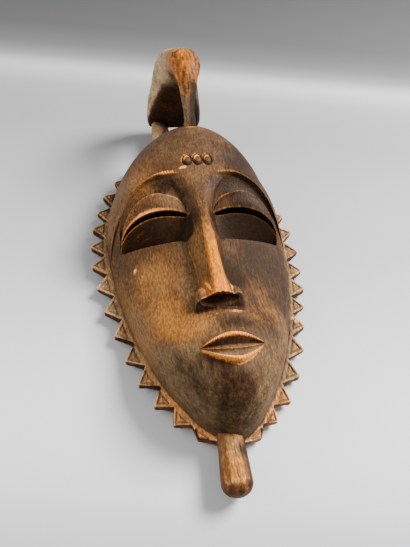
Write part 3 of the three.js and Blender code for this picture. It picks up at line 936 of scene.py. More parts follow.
class WoodGroups:
    """The node groups that every wood finish shares."""

    def __init__(self) -> None:
        """Builds the groups once."""
        self.grain = self.build_grain()
        self.wear = self.build_wear()
        self.dust = self.build_dust()

    def build_grain(self) -> NodeTree:
        """Fine fibres along the block, streaks, mottled patches and small pits.

        Returns:
            A group that puts out patches, streaks, fibres, speckle, pits and a height, each from 0 to 1.
        """
        inputs = {"Vector": ("Vector", 0.0), "Along": ("Float", 0.2), "Scale": ("Float", 1.0)}
        labels = ("Patches", "Streaks", "Fibre", "Speckle", "Pits", "Height")
        outputs = {label: "Float" for label in labels}
        group, start, end = new_group("wood grain", inputs, outputs)
        w = Wiring(group)
        scaled = w.add("VectorMath", {0: start.outputs["Vector"], "Scale": start.outputs["Scale"]}, operation="SCALE")
        scaled = scaled.outputs[0]
        squeeze = w.add("CombineXYZ", {0: 1.0, 1: start.outputs["Along"], 2: 1.0}).outputs[0]
        run = w.stretch(scaled, squeeze)
        patches = w.range(w.noise(w.stretch(scaled, (1, 0.6, 1)), scale=70.0, detail=5.0, rough=0.62), 0.34, 0.66)
        streaks = w.range(w.noise(w.stretch(run, (1, 1.1, 1)), scale=520.0, detail=3.0, rough=0.6), 0.3, 0.7)
        speckle = w.range(w.noise(w.stretch(scaled, (1, 0.32, 1)), scale=980.0, detail=2.0, rough=0.6), 0.3, 0.7)
        fibre = w.range(w.noise(run, scale=1250.0, detail=2.0, rough=0.6), 0.3, 0.7)
        pits = w.range(w.noise(w.stretch(scaled, (1, 0.6, 1)), scale=1500.0, detail=1.0, rough=0.5), 0.38, 0.3)
        coarse = w.noise(w.stretch(scaled, (1, 0.7, 1)), scale=420.0, detail=3.0, rough=0.65)
        height = w.weigh((fibre, 0.35), (coarse, 0.9), (pits, -0.4))
        for label, value in zip(labels, (patches, streaks, fibre, speckle, pits, height)):
            group.links.new(value, end.inputs[label])
        return group

    def build_wear(self) -> NodeTree:
        """Where handling has rubbed the dark surface off, and where edges are scuffed and carry painted highlights,
        broken up into small flecks.

        Returns:
            A group that puts out a mask of the rubbed places and one of the edges, scuffs and painted highlights
            together.
        """
        inputs = {
            "Vector": ("Vector", 0.0), "Worn": ("Float", 0.0), "Edge Scuff and Highlight": ("Float", 0.0), "Fibre": ("Float", 0.5),
            "Amount": ("Float", 1.0), "Break Up": ("Float", 0.7),
        }
        group, start, end = new_group("rubbed wood and edge highlights", inputs, {"Mask": "Float", "Edges": "Float"})
        w = Wiring(group)
        place = start.outputs["Vector"]
        fleck = w.noise(w.stretch(place, (1, 0.45, 1)), scale=780.0, detail=2.0, rough=0.6)
        broad = w.noise(place, scale=120.0, detail=3.0, rough=0.6)
        broken = w.weigh((fleck, 1.0), (broad, 0.5), (start.outputs["Fibre"], 0.3), centre=0.5)
        broken = w.math("MULTIPLY", broken, start.outputs["Break Up"])
        total = w.math("MULTIPLY", start.outputs["Worn"], start.outputs["Amount"])
        group.links.new(w.range(w.math("ADD", total, broken), 0.2, 0.95), end.inputs["Mask"])
        edges = w.math("ADD", start.outputs["Edge Scuff and Highlight"], w.math("MULTIPLY", broken, 0.8))
        group.links.new(w.range(edges, 0.12, 0.9), end.inputs["Edges"])
        return group

    def build_dust(self) -> NodeTree:
        """Old grey-green dust and grime in cloudy patches; on the bird and the lower left teeth it also carries painted
        light.

        Returns:
            A group that puts out a mask.
        """
        inputs = {"Vector": ("Vector", 0.0), "Film": ("Float", 0.0), "Amount": ("Float", 1.0)}
        group, start, end = new_group("dust film", inputs, {"Mask": "Float"})
        w = Wiring(group)
        cloud = w.noise(w.stretch(start.outputs["Vector"], (1, 0.5, 1)), scale=150.0, detail=6.0, rough=0.72)
        mask = w.math("MULTIPLY", start.outputs["Film"], w.range(cloud, 0.28, 0.64, 0.3, 1.0))
        group.links.new(w.math("MULTIPLY", mask, start.outputs["Amount"], True), end.inputs["Mask"])
        return group


def shade(red: float, green: float, blue: float) -> Colour:
    """A colour given as it looks on a screen, from 0 to 255, as linear light."""
    linear = [c / 12.92 if c <= 0.04045 else ((c + 0.055) / 1.055) ** 2.4 for c in (red / 255, green / 255, blue / 255)]
    return (linear[0], linear[1], linear[2], 1.0)


@dataclass(frozen=True)
class WoodFinish:
    """One finish of the wood: its colours and how strongly each effect shows."""

    name: str
    base: Colour
    deep: Colour
    rubbed: Colour
    bright: Colour
    # pale colour of scuffs on edges, also used for painted edge highlights
    scuff_and_highlight: Colour
    film: Colour
    # dark colour of grime, also used for painted shade in hollows and under parts
    dirt_and_shade: Colour
    wear_amount: float = 1.0
    film_amount: float = 1.0
    rough: float = 0.52
    rough_rubbed: float = 0.42
    relief: float = 0.5
    specular: float = 0.11
    gloss_tint: Colour = (1.0, 0.8, 0.6, 1.0)

    def material(self, groups: WoodGroups) -> Material:
        """Builds the material.

        Args:
            groups: the node groups that it uses.

        Returns:
            The material.
        """
        mat = bpy.data.materials.new(self.name)
        mat.use_nodes = True
        mat.diffuse_color = self.base
        tree = mat.node_tree
        tree.nodes.clear()
        w = Wiring(tree)
        place = w.add("TexCoord").outputs["Object"]
        grain = w.add("Group", node_tree=groups.grain)
        tree.links.new(place, grain.inputs["Vector"])
        patches, streaks, fibre, speckle = (grain.outputs[k] for k in ("Patches", "Streaks", "Fibre", "Speckle"))
        wear = w.add("Group", node_tree=groups.wear)
        tree.links.new(place, wear.inputs["Vector"])
        tree.links.new(fibre, wear.inputs["Fibre"])
        tree.links.new(w.attribute(Attribute.WORN), wear.inputs["Worn"])
        tree.links.new(w.attribute(Attribute.EDGE), wear.inputs["Edge Scuff and Highlight"])
        wear.inputs["Amount"].default_value = self.wear_amount
        dust = w.add("Group", node_tree=groups.dust)
        tree.links.new(place, dust.inputs["Vector"])
        tree.links.new(w.attribute(Attribute.DUST_AND_PAINTED_LIGHT), dust.inputs["Film"])
        dust.inputs["Amount"].default_value = self.film_amount

        # From the bottom up: dark wood, rubbed tone, dust (also painted light on the bird and the lower left teeth),
        # rubbed-through places, scuffs with painted edge highlights, staining and grime with painted shade, fine flecks
        # that are partly painted sparkle.
        colour = w.blend(w.weigh((patches, 0.35), (streaks, 0.4), (fibre, 0.25)), self.deep, self.base)
        tone = w.attribute(Attribute.TONE)
        broken = w.weigh((patches, 0.3), (streaks, 0.24), (speckle, 0.26), centre=0.5)
        toned = w.math("ADD", tone, w.math("MULTIPLY", broken, w.math("ADD", tone, 0.2)))
        colour = w.blend(w.range(toned, 0.0, 1.0), colour, self.rubbed)
        colour = w.blend(dust.outputs["Mask"], colour, self.film)
        colour = w.blend(wear.outputs["Mask"], colour, self.bright)
        colour = w.blend(wear.outputs["Edges"], colour, self.scuff_and_highlight)
        mottled = w.weigh((patches, -0.2), (streaks, -0.26), centre=0.5)
        stain_and_shade_mix = w.math("ADD", w.attribute(Attribute.STAIN_AND_SHADE), mottled)
        colour = w.blend(w.range(stain_and_shade_mix, 0.1, 0.9, 0.0, 0.92), colour, self.dirt_and_shade)
        # Darker in carved corners and creases: grime, and painted shade.
        sunk_dirt_and_shade = w.math("ADD", w.attribute(Attribute.RECESS_DIRT_AND_SHADE), w.weigh((fibre, 0.15), centre=0.5))
        colour = w.blend(w.range(sunk_dirt_and_shade, 0.05, 1.0, 0.0, 0.9), colour, self.dirt_and_shade)
        colour = w.blend(w.math("MULTIPLY", grain.outputs["Pits"], 0.35), colour, self.dirt_and_shade)
        # Fine flecks that lighten and darken the colour: grain, and painted sparkle of the gloss.
        fleck = w.range(w.weigh((speckle, 0.65), (fibre, 0.35)), 0.1, 0.9, 0.74, 1.28)
        tint = w.add("CombineColor", {0: fleck, 1: fleck, 2: fleck}).outputs[0]
        colour = w.blend(1.0, colour, tint, "MULTIPLY")

        rough = w.range(wear.outputs["Mask"], 0.0, 1.0, self.rough, self.rough_rubbed)
        rough = w.math("ADD", rough, w.math("MULTIPLY", dust.outputs["Mask"], 0.2))
        rough = w.math("ADD", rough, w.weigh((fibre, -0.12), centre=0.5))
        surface = w.add("Bump", {"Height": grain.outputs["Height"], "Distance": 0.0005, "Strength": self.relief})
        shader = w.add("BsdfPrincipled", {"Base Color": colour, "Roughness": rough, "Normal": surface.outputs[0]})
        shader.inputs["Specular IOR Level"].default_value = self.specular
        shader.inputs["Specular Tint"].default_value = self.gloss_tint
        output = w.add("OutputMaterial")
        tree.links.new(shader.outputs[0], output.inputs[0])
        return mat


FACE_FINISH = WoodFinish(
    name="patinated face wood",
    base=shade(82, 54, 32), deep=shade(60, 39, 22), rubbed=shade(143, 92, 40), bright=shade(206, 114, 0),
    scuff_and_highlight=shade(252, 158, 64), film=shade(110, 87, 60), dirt_and_shade=shade(27, 12, 4),
)
BORDER_FINISH = WoodFinish(
    name="toothed border wood",
    base=shade(104, 72, 45), deep=shade(68, 46, 28), rubbed=shade(148, 100, 58), bright=shade(224, 148, 84),
    scuff_and_highlight=shade(250, 182, 118), film=shade(141, 113, 80), dirt_and_shade=shade(24, 12, 5),
)
PEG_FINISH = WoodFinish(
    name="peg wood",
    base=shade(112, 74, 40), deep=shade(78, 49, 26), rubbed=shade(162, 100, 48), bright=shade(232, 146, 54),
    scuff_and_highlight=shade(236, 170, 108), film=shade(92, 80, 62), dirt_and_shade=shade(26, 13, 5), relief=0.4,
)
BIRD_FINISH = WoodFinish(
    name="bird wood",
    base=shade(76, 50, 32), deep=shade(48, 31, 19), rubbed=shade(150, 84, 24), bright=shade(222, 130, 44),
    scuff_and_highlight=shade(226, 170, 120), film=shade(184, 154, 116), dirt_and_shade=shade(22, 10, 3),
)


# ---- the pieces of the carving


@dataclass
class ToothRow:
    """One side's teeth: where each tip lies along the outline."""

    side: Side
    count: int
    first: float
    pitch: float
    crowd: float
    wave: float
    turn: float
    phase: float

    def tips(self) -> Array:
        """Running length of each tip from the chin."""
        k = np.arange(self.count)
        wave = self.wave * np.sin(self.turn * k + self.phase)
        return self.first + self.pitch * k - self.crowd * (1 - np.exp(-k / 3)) + wave


@dataclass
class ToothedBorder:
    """The flat border of pointed teeth round the face, with a triangle cut into each tooth."""

    outline: FaceOutline
    back_z: float = 3.0
    front_z: float = 9.0
    valley_reach: float = 2.0
    rows: tuple[ToothRow, ToothRow] = (
        ToothRow(Side.LEFT, 15, 18.1, 20.85, 21.0, 2.0, 0.81, 1.43),
        ToothRow(Side.RIGHT, 16, 12.8, 19.25, 16.6, 2.0, 1.08, 2.62),
    )
    sink: float = 5.0
    back_drop: float = 2.0
    strip_width: float = 0.55
    rounding: int = 6
    cut_share: float = 0.56
    cut_depth: float = 1.0
    cut_width: float = 0.55

    def reach(self, length: Array) -> Array:
        """How far a tooth stands out of the outline, by its running length from the chin."""
        return lerp(6, 10.6, ease(8, 44, length)) + 3.2 * ease(60, 170, length) + 1.8 * bump(length, 70, 22)

    def beside(self, length: Array, reach: Array) -> Array:
        """Points outside the outline.

        Args:
            length: running lengths from the chin.
            reach: distances outwards.

        Returns:
            Their x and y.
        """
        points, run = self.outline.run()
        i = np.clip(np.searchsorted(run, length, side="left"), 1, len(run) - 1)
        a, b = points[i - 1], points[i]
        t = unit((length - run[i - 1]) / (run[i] - run[i - 1]))[:, None]
        along = b - a
        normal = np.stack([along[:, 1], -along[:, 0]], axis=1)
        normal /= np.linalg.norm(normal, axis=1, keepdims=True)
        return a + along * t + normal * np.asarray(reach)[:, None]

    def tip_points(self, row: ToothRow) -> Array:
        """Tips of one side's teeth."""
        tips = row.tips()
        return self.beside(tips, self.reach(tips)) * np.array([row.side.value, 1])

    def corners(self, row: ToothRow) -> tuple[Array, Array]:
        """The corners of one side's edge, valleys and tips in turn.

        Args:
            row: the side.

        Returns:
            Running length of each corner, and its distance from the outline.
        """
        tips = row.tips()
        valleys = np.concatenate([[max(tips[0] - 8, 2.0)], (tips[1:] + tips[:-1]) / 2])
        length = np.stack([valleys, tips], axis=1).ravel()
        reach = np.stack([np.full(len(tips), self.valley_reach), self.reach(tips)], axis=1).ravel()
        end = self.outline.run()[1][-1]
        rest = np.arange(tips[-1] + 9, end, 8.0)
        length = np.concatenate([[0.5], length, rest, [end - 0.01]])
        reach = np.concatenate([[self.valley_reach], reach, np.full(len(rest) + 1, self.valley_reach)])
        return length, reach

    def build(self, bench: Bench) -> Object:
        """Makes the border as one ring of fine strips.

        Args:
            bench: the mesh maker.

        Returns:
            The border.
        """
        sides = [self.side_strip(row) for row in self.rows]
        right, left = sides[1], sides[0][::-1]
        strip = np.concatenate([right, left])
        count, ring, _ = strip.shape
        number = np.arange(count * ring).reshape(count, ring)
        after = np.roll(number, -1, axis=0)
        faces = np.stack([number, np.roll(number, -1, axis=1), np.roll(after, -1, axis=1), after], axis=2)
        return bench.make("toothed_border", strip.reshape(-1, 3), faces.reshape(-1, 4).tolist())

    def side_strip(self, row: ToothRow) -> Array:
        """Cross-sections of the border along one side, from the chin to the top.

        Args:
            row: the side.

        Returns:
            Sections, points round each section, and x, y, z.
        """
        length, reach = self.corners(row)
        inner = self.beside(length, np.full(len(length), -self.sink))
        outer = self.beside(length, reach)
        steps = []
        for k in range(len(length) - 1):
            pieces = max(2, int(round(np.linalg.norm(outer[k + 1] - outer[k]) / self.strip_width)))
            steps += [(k, i / pieces) for i in range(pieces)]
        k = np.array([s[0] for s in steps])
        t = np.array([s[1] for s in steps])[:, None]
        root = inner[k] + (inner[k + 1] - inner[k]) * t
        edge = outer[k] + (outer[k + 1] - outer[k]) * t
        for _ in range(self.rounding):
            blunt = 0.10 + 0.34 * ease(-70, -10, edge[1:-1, 1])
            edge[1:-1] += blunt[:, None] * (edge[:-2] + edge[2:] - 2 * edge[1:-1])
        across = np.concatenate([np.linspace(0, 0.86, 16), [0.92, 0.965, 0.99, 1.0]])
        drop = np.concatenate([np.zeros(16), [0.05, 0.25, 0.6, 1.15]])
        top = root[:, None] + (edge - root)[:, None] * across[None, :, None]
        z_top = np.broadcast_to(self.front_z - drop, top.shape[:2]).copy()
        z_top += self.cut(top, length, reach, k, t)
        side_z = np.array([self.front_z - 3, self.back_z + 1.2, self.back_z + 0.4, self.back_z])
        side_in = np.array([1.0, 0.995, 0.98, 0.94])
        side = root[:, None] + (edge - root)[:, None] * side_in[None, :, None]
        under = root[:, None] + (edge - root)[:, None] * np.array([0.5, 0.0])[None, :, None]
        rings = np.concatenate([top, side, under], axis=1)
        out = np.linalg.norm(edge - root, axis=1) - self.sink
        lower = np.outer(self.back_drop * (1 - unit((out - self.valley_reach) / 6)), [0.35, 0.9, 1, 1])
        z_under = np.broadcast_to([0.6, 0.6], under.shape[:2])
        z = np.concatenate([z_top, side_z[None, :] - lower, z_under], axis=1)
        return np.stack([rings[..., 0] * row.side.value, rings[..., 1], z], axis=2)

    def cut(self, top: Array, length: Array, reach: Array, k: Array, t: Array) -> Array:
        """Depth of the fine triangle cut into each tooth.

        Args:
            top: points of the upper side, x and y.
            length: running length of the corners.
            reach: distance of the corners from the outline.
            k: which edge each section belongs to.
            t: how far along that edge.

        Returns:
            Heights to add, zero or negative.
        """
        depth = np.zeros(top.shape[:2])
        corners = self.beside(length, reach)
        tall = reach > self.valley_reach + 1
        for tip in np.nonzero(tall)[0]:
            ours = (k == tip - 1) | (k == tip)
            if tip + 1 >= len(length) or not ours.any():
                continue
            triangle = np.array([corners[tip - 1], corners[tip], corners[tip + 1]])
            middle = triangle.mean(0)
            small = middle + (triangle - middle) * self.cut_share
            points = top[ours]
            nearest = np.full(points.shape[:2], 99.0)
            for a, b in ((0, 1), (1, 2), (2, 0)):
                line = small[b] - small[a]
                share = unit(((points - small[a]) @ line) / (line @ line))
                away = np.linalg.norm(points - small[a] - share[..., None] * line, axis=2)
                nearest = np.minimum(nearest, away)
            depth[ours] = -self.cut_depth * np.exp(-((nearest / self.cut_width) ** 2))
        return depth

    def dress(self, bench: Bench, obj: Object) -> None:
        """Roughens the border by hand and stores its wear, dust and staining, with painted light on the lower left
        teeth and painted shade on the right ones.

        Args:
            bench: the mesh maker.
            obj: the border.
        """
        points = bench.coordinates(obj)
        uneven = Ripple(11, 26.0)(points) * 0.35 + Ripple(12, 7.0)(points) * 0.12
        normals = bench.normals(obj)
        bench.move_points(obj, points + normals * uneven[:, None])
        points = bench.coordinates(obj)
        sharp = bench.curvature(obj, 2)
        # Sharp edges are lightened: scuffs, and painted highlights.
        bench.store(obj, Attribute.EDGE, unit(sharp * 3.4))
        bench.store(obj, Attribute.RECESS_DIRT_AND_SHADE, unit(-sharp * 3.0))
        x, y, z = points.T
        out = np.abs(x) - self.outline.width(y)
        upward = unit(normals[:, 2])
        chin = ease(-130, -150, y)
        # Lighter tone, wear and film on the lower left teeth: painted light where the face's shadow falls on them.
        painted_light_on_left_teeth = (x < 0) * (0.4 * ease(10, -50, y) + 1.1 * ease(-84, -112, y)) * upward
        worn = 0.12 * upward + 0.1 * Ripple(13, 30.0)(points) + 0.2 * chin * upward + 0.25 * painted_light_on_left_teeth
        bench.store(obj, Attribute.WORN, worn)
        bench.store(obj, Attribute.TONE, 0.2 * upward + 0.5 * chin + 0.5 * painted_light_on_left_teeth)
        bench.store(obj, Attribute.DUST_AND_PAINTED_LIGHT, upward * ease(70, 0, y) * (1 - 0.6 * chin) + 0.4 * painted_light_on_left_teeth)
        side = (1 - upward) * ease(2.8, 4.2, z)
        # The tops of the right teeth are darkened as painted shade.
        stain = 0.7 * side + 0.4 * bump(out, 0.0, 1.5) + 0.3 * ease(20, 80, y) + 0.32 * upward * (x > 0)
        bench.store(obj, Attribute.STAIN_AND_SHADE, stain)


@dataclass
class Nose:
    """The nose: a long narrow ridge with a flat underside that widens into the wings."""

    form: FaceForm
    tip_y: float = -96.2
    tip_skew: float = 0.16
    base_y: float = -101.4
    base_skew: float = 0.055
    scoop_at: tuple = (0.3, -99.3, 50.2)
    scoop_size: tuple = (13.6, 4.1, 4.2)
    root_depth: float = 6.0

    def tip_line(self, x: Array) -> Array:
        """The uneven upper edge of the underside, as y at each x."""
        chips = 0.35 * np.sin(x * 1.9) * bump(x, 1.5, 7) + 0.5 * bump(x, 6.2, 0.8) - 0.4 * bump(x, -5.5, 1.2)
        return self.tip_y + self.tip_skew * x * ease(3, 12, np.abs(x)) * 0.8 + chips

    def underside(self, x: Array, y: Array) -> Array:
        """Finds the underside between the wings.

        Args:
            x: places across the face.
            y: places along the face.

        Returns:
            1 on the underside and 0 elsewhere.
        """
        base = self.base_y + self.base_skew * x
        within = ease(0.25, -0.35, y - self.tip_line(x)) * ease(-0.9, 0.1, y - base)
        return within * (1 - ease(15.5, 17.5, np.abs(x)))

    def scoop(self, bench: Bench) -> Object:
        """The hollow that is cut into the nose's underside, a flattened ball turned to face it.

        Args:
            bench: the mesh maker.

        Returns:
            The solid to cut out.
        """
        inward, across = np.array([0, 0.79, -0.61]), np.array([0, 0.61, 0.79])
        angle = np.linspace(0, 2 * math.pi, 40, endpoint=False)
        rings = []
        for t in np.sin(np.linspace(-0.97, 0.97, 60) * math.pi / 2):
            r = math.sqrt(1 - t * t) ** 0.6
            centre = np.array(self.scoop_at) + np.array([t * self.scoop_size[0], 0.045 * t * self.scoop_size[0], 0])
            ring = np.outer(self.scoop_size[1] * r * np.cos(angle), across)
            rings.append(centre + ring + np.outer(self.scoop_size[2] * r * np.sin(angle), -inward))
        return bench.loft("scoop", np.array(rings))

    def ring(self, station: float, x: Array, y: Array, z: Array) -> Array:
        """One section of the nose: its upper side, closed by two corners inside the face.

        Args:
            station: where the section stands along the face.
            x: the upper side's places across.
            y: its places along.
            z: its heights.

        Returns:
            The section's points.
        """
        half = float(self.form.half(station))
        floor = float(self.form.vault(half, station)) - self.root_depth
        top = np.stack([x, y, z], axis=1)
        return np.concatenate([top, [[half, y[-1], floor], [-half, y[0], floor]]])

    def solid(self, bench: Bench) -> Object:
        """Makes the nose as a closed solid that reaches into the face.

        Args:
            bench: the mesh maker.

        Returns:
            The nose.
        """
        form = self.form
        shares = np.sin(np.linspace(-1, 1, 61) * math.pi / 2)
        stations = np.concatenate([np.linspace(-95.6, -60, 60), np.linspace(-59, form.nose_root_y, 84)])
        half = float(form.half(self.tip_y))
        x = shares * half
        tip_y = self.tip_line(x)
        tip_z = form.nose(x, np.full_like(x, self.tip_y))
        base_y = self.base_y + self.base_skew * x
        base_z = form.vault(x, base_y) - 0.5
        rings = []
        for t in np.linspace(0, 1, 15):
            rings.append(self.ring(self.tip_y, x, lerp(base_y, tip_y, t), lerp(base_z, tip_z, t)))
        for y in stations:
            x = shares * float(form.half(y))
            row_y = np.maximum(np.full_like(x, y), tip_y + 0.3)
            rings.append(self.ring(float(y), x, row_y, form.nose(x, np.full_like(x, y))))
        return bench.loft("nose", np.array(rings))


@dataclass
class Lips:
    """Small raised lips: an almond with a raised notched rim, hollowed towards the line between them."""

    form: FaceForm
    x: float = 1.1
    y: float = -132.6
    lift: float = 2.4
    half_width: float = 18.4
    upper_height: float = 8.6
    lower_height: float = 8.6
    skew: float = 0.1
    height: float = 6.4
    lower_drop: float = 0.36
    parting: float = 5.2
    notch_pitch: float = 1.4
    notch_depth: float = 0.5

    def halves(self, u: Array | float) -> tuple[Array, Array, Array]:
        """The lips' shape along their length.

        Args:
            u: places along, from -1 at the left corner to 1 at the right one.

        Returns:
            The line between the lips, and the heights of the upper and the lower lip.
        """
        u = np.asarray(u, float)
        middle = self.y + self.lift * u * u
        upper = (1 - unit(np.abs(u)) ** 1.9) ** 1.05
        skewed = (u - self.skew) / np.where(u > self.skew, 1 - self.skew, 1 + self.skew)
        lower = (1 - unit(np.abs(skewed)) ** 1.45) ** 0.95
        return middle, self.upper_height * upper, self.lower_height * lower

    def locate(self, x: Array, y: Array) -> tuple[Array, Array]:
        """Where a place lies on the lips.

        Args:
            x: places across the face.
            y: places along the face.

        Returns:
            The share of the way from the line between the lips to the rim, and 1 on the lips.
        """
        u = (x - self.x) / self.half_width
        middle, upper, lower = self.halves(np.clip(u, -0.98, 0.98))
        across = (y - middle) / np.where(y > middle, np.maximum(upper, 0.3), np.maximum(lower, 0.3))
        return across, (1 - ease(0.96, 1.0, np.abs(u))) * (1 - ease(1.02, 1.14, np.abs(across)))

    def notches(self, x: Array, across: Array) -> Array:
        """The fine notches cut across the rim.

        Args:
            x: places across the face.
            across: places across the lips, from -1 to 1.

        Returns:
            1 in a notch and 0 between notches and off the rim.
        """
        lean = 0.25 * (x - self.x) * np.sign(across)
        wave = 0.5 + 0.5 * np.cos(2 * math.pi * ((x - self.x) * 1.1 + lean) / self.notch_pitch)
        return bump(np.abs(across), 0.84, 0.17) * wave**1.5

    def solid(self, bench: Bench) -> Object:
        """Makes the lips as a closed solid that reaches into the face.

        Args:
            bench: the mesh maker.

        Returns:
            The lips.
        """
        form = self.form
        profile = Curve((
            (-1.0, 0.1), (-0.965, 0.62), (-0.91, 0.95), (-0.86, 1.0), (-0.79, 0.9), (-0.6, 0.56), (-0.16, 0.08),
            (-0.07, 0.17), (-0.03, 0.16), (0.01, -0.04), (0.1, 0.0), (0.32, 0.2), (0.54, 0.56), (0.68, 0.9),
            (0.77, 1.0), (0.86, 1.0), (0.91, 0.95), (0.965, 0.62), (1.0, 0.1),
        ))
        across = np.concatenate([[-1.02], np.linspace(-1, 1, 101), [1.02]])[::-1]
        rings = []
        for u in np.sin(np.linspace(-0.985, 0.985, 210) * math.pi / 2):
            x = self.x + self.half_width * u
            middle, upper_half, lower_half = self.halves(u)
            upper = upper_half / self.upper_height
            half = np.where(across > 0, upper_half, lower_half)
            height = self.height * (0.5 + 0.5 * upper**0.6) * (1 - self.lower_drop * ease(0, -0.5, across))
            shape = profile(np.clip(across, -1, 1))
            y = middle + half * across
            inside = np.abs(across) < 0.86
            z = np.where(inside, height - self.parting * upper**0.6 * (1 - shape), height * shape)
            z -= self.notch_depth * self.notches(np.full_like(y, x), across) * upper**0.3
            z = form.vault(x, y) + z
            z[0], z[-1] = form.vault(x, y[0]) - 3, form.vault(x, y[-1]) - 3
            rings.append(np.stack([np.full_like(y, x), y, z], axis=1))
        return bench.loft("lips", np.array(rings))


@dataclass(frozen=True)
class FaceWear:
    """Soft patches of rubbing, tone, dust, staining, painted shade and chips, where they lie seen from the front of the
    face.
    """

    rubbed: tuple[Spot, ...] = (
        Spot(0.16, (-34, -92), (14, 14)), Spot(0.18, (-26, -110), (16, 8), 35), Spot(0.3, (-8, -93), (4, 6)),
    )
    tone: tuple[Spot, ...] = (
        Spot(0.8, (-33, -100), (17, 19)), Spot(0.35, (-22, -116), (16, 9)), Spot(0.72, (-38, -62), (20, 18)),
        Spot(0.5, (34, -98), (13, 19)), Spot(0.2, (34, -62), (20, 24)), Spot(0.3, (-12, -110), (10, 7)),
        Spot(0.65, (-46, 24), (15, 26)), Spot(0.15, (2, 8), (14, 12)), Spot(0.2, (34, 40), (14, 20)),
        Spot(0.3, (20, -110), (12, 7)),
    )
    tone_of_chin: Spot = Spot(0.12, (-2, -163), (4, 5))
    film: tuple[Spot, ...] = (
        Spot(0.9, (-58, 24), (9, 40)), Spot(0.3, (-44, -58), (16, 14)), Spot(0.6, (-17, -68), (6, 30)),
        Spot(0.6, (4, -112), (13, 6)), Spot(1.0, (24, -146), (10, 28)), Spot(0.5, (-22, -148), (16, 22)),
        Spot(0.25, (-38, -72), (5, 12)),
    )
    # Staining and grime; the wide patches on the right cheek, the right of the dome and the right temple are painted
    # shade.
    stains_and_shade: tuple[Spot, ...] = (
        Spot(0.16, (-25, -134), (13, 10)), Spot(0.22, (0, -156), (7, 20)), Spot(0.12, (-12, -142), (14, 8)),
        Spot(0.85, (5, -113), (12, 7)), Spot(0.2, (-8, -160), (3, 14)), Spot(0.85, (14.5, -72), (6.5, 17)),
        Spot(0.15, (8, -160), (5, 14)), Spot(0.36, (38, 44), (16, 26)), Spot(0.12, (2, 10), (14, 12)),
        Spot(0.42, (38, -58), (24, 34)), Spot(0.25, (50, 10), (14, 40)),
    )
    chips: tuple[Spot, ...] = (
        Spot(1.2, (-50.7, -51), (0.9, 1.9), -10), Spot(0.6, (-46, -58), (0.7, 1.2)),
        Spot(0.7, (-46, -25.2), (5, 0.5), 22), Spot(0.5, (-41, -27.5), (6, 0.5), 14),
        Spot(0.6, (9.5, -118.6), (1.1, 0.45), -30), Spot(0.2, (3, -113), (8, 0.8), -38),
        Spot(0.6, (9, -104.3), (5.5, 1.3)), Spot(0.4, (-6, -106.5), (8, 0.9), 8),
        Spot(0.32, (-10, -151), (9, 0.3), 12), Spot(0.32, (-2, -147), (7, 0.3), -30),
        Spot(1.0, (-9.8, 16.6), (3.2, 1.3), 15), Spot(0.7, (3.2, 71), (5, 2.0)),
    )
    wing_lines: tuple[Spot, ...] = (
        Spot(0.95, (-6.6, -89), (0.65, 5.4), 13), Spot(0.85, (8.6, -89), (0.65, 4.6), -4),
    )


# Where the rubbed left cheek ends and the duller side of the jaw starts, as x at each y.
JAW_LINE = Curve((
    (-150, -17), (-129, -17.6), (-116, -38.8), (-99, -46.5), (-84, -50.2), (-74, -52), (-62, -57.8),
    (-38, -59.5), (0, -80),
))


class FaceMap:
    """What the wear, staining and painted light and shade of the face follow, for each vertex; most of it as numbers
    from 0 to 1.
    """

    def __init__(self, bench: Bench, obj: Object, form: FaceForm, nose: Nose, lips: Lips) -> None:
        """Works out the map.

        Args:
            bench: the mesh maker.
            obj: the face's mesh.
            form: heights of the face.
            nose: the nose's sizes.
            lips: the lips' sizes.
        """
        points, normals = bench.coordinates(obj), bench.normals(obj)
        x, y, z = points.T
        ax = np.abs(x)
        self.x, self.y, self.z, self.ax = x, y, z, ax
        upward = unit(ease(-0.2, 0.2, normals[:, 2]) * ease(5, 9, z))
        chinward = ease(0.3, 0.6, -normals[:, 1]) * ease(14, 20, z) * (z > form.vault(x, y) - 8)
        self.front = np.maximum(upward, chinward)
        self.fine = hollow_relief(bench, obj, 3.0)
        self.broad = hollow_relief(bench, obj, 11.0)
        self.sharp = bench.curvature(obj, 3)
        self.uneven = Ripple(21, 34.0)(points)
        self.fibres = Ripple(61, 1.9)(points, (1, 7, 1))
        self.streaks = Ripple(62, 6.0)(points, (1, 8, 1))
        self.across, self.lips = lips.locate(x, y)
        self.ridge = (1 - ease(0.6, 1.4, np.abs(x - 0.9) / form.band(y))) * ease(-98, -96, y) * ease(2, -56, y)
        self.wings = ease(7, 10, ax) * ease(-84, -90, y) * (1 - ease(15, 18, ax))
        self.beside_nose = bump(x, -8, 5) * ease(-20, -40, y)
        self.inset = form.outline.width(y) - ax
        self.chin = ease(5, -14, y + 118 + 0.35 * (x + 35)) * (1 - self.lips)
        self.jaw = ease(6, -5, x - JAW_LINE(y)) * ease(-40, -56, y) * (1 - 0.75 * patch(x, y, (-62, -58), (12, 26)))
        self.eye_corner = patch(ax, y, (form.eye_inner[0] - 1, -26), (4.5, 9))
        beneath = ease(-0.4, -1.2, z - form.nose(x, np.maximum(y, nose.tip_y))) * ease(-92, -94, y)
        beneath = beneath * ease(-104, -103, y) * (1 - ease(14, 16, ax)) * ease(38, 42, z)
        self.under_nose = np.maximum(nose.underside(x, y), beneath)
        self.deep_under_nose = self.under_nose * ease(50.5, 47.5, z)


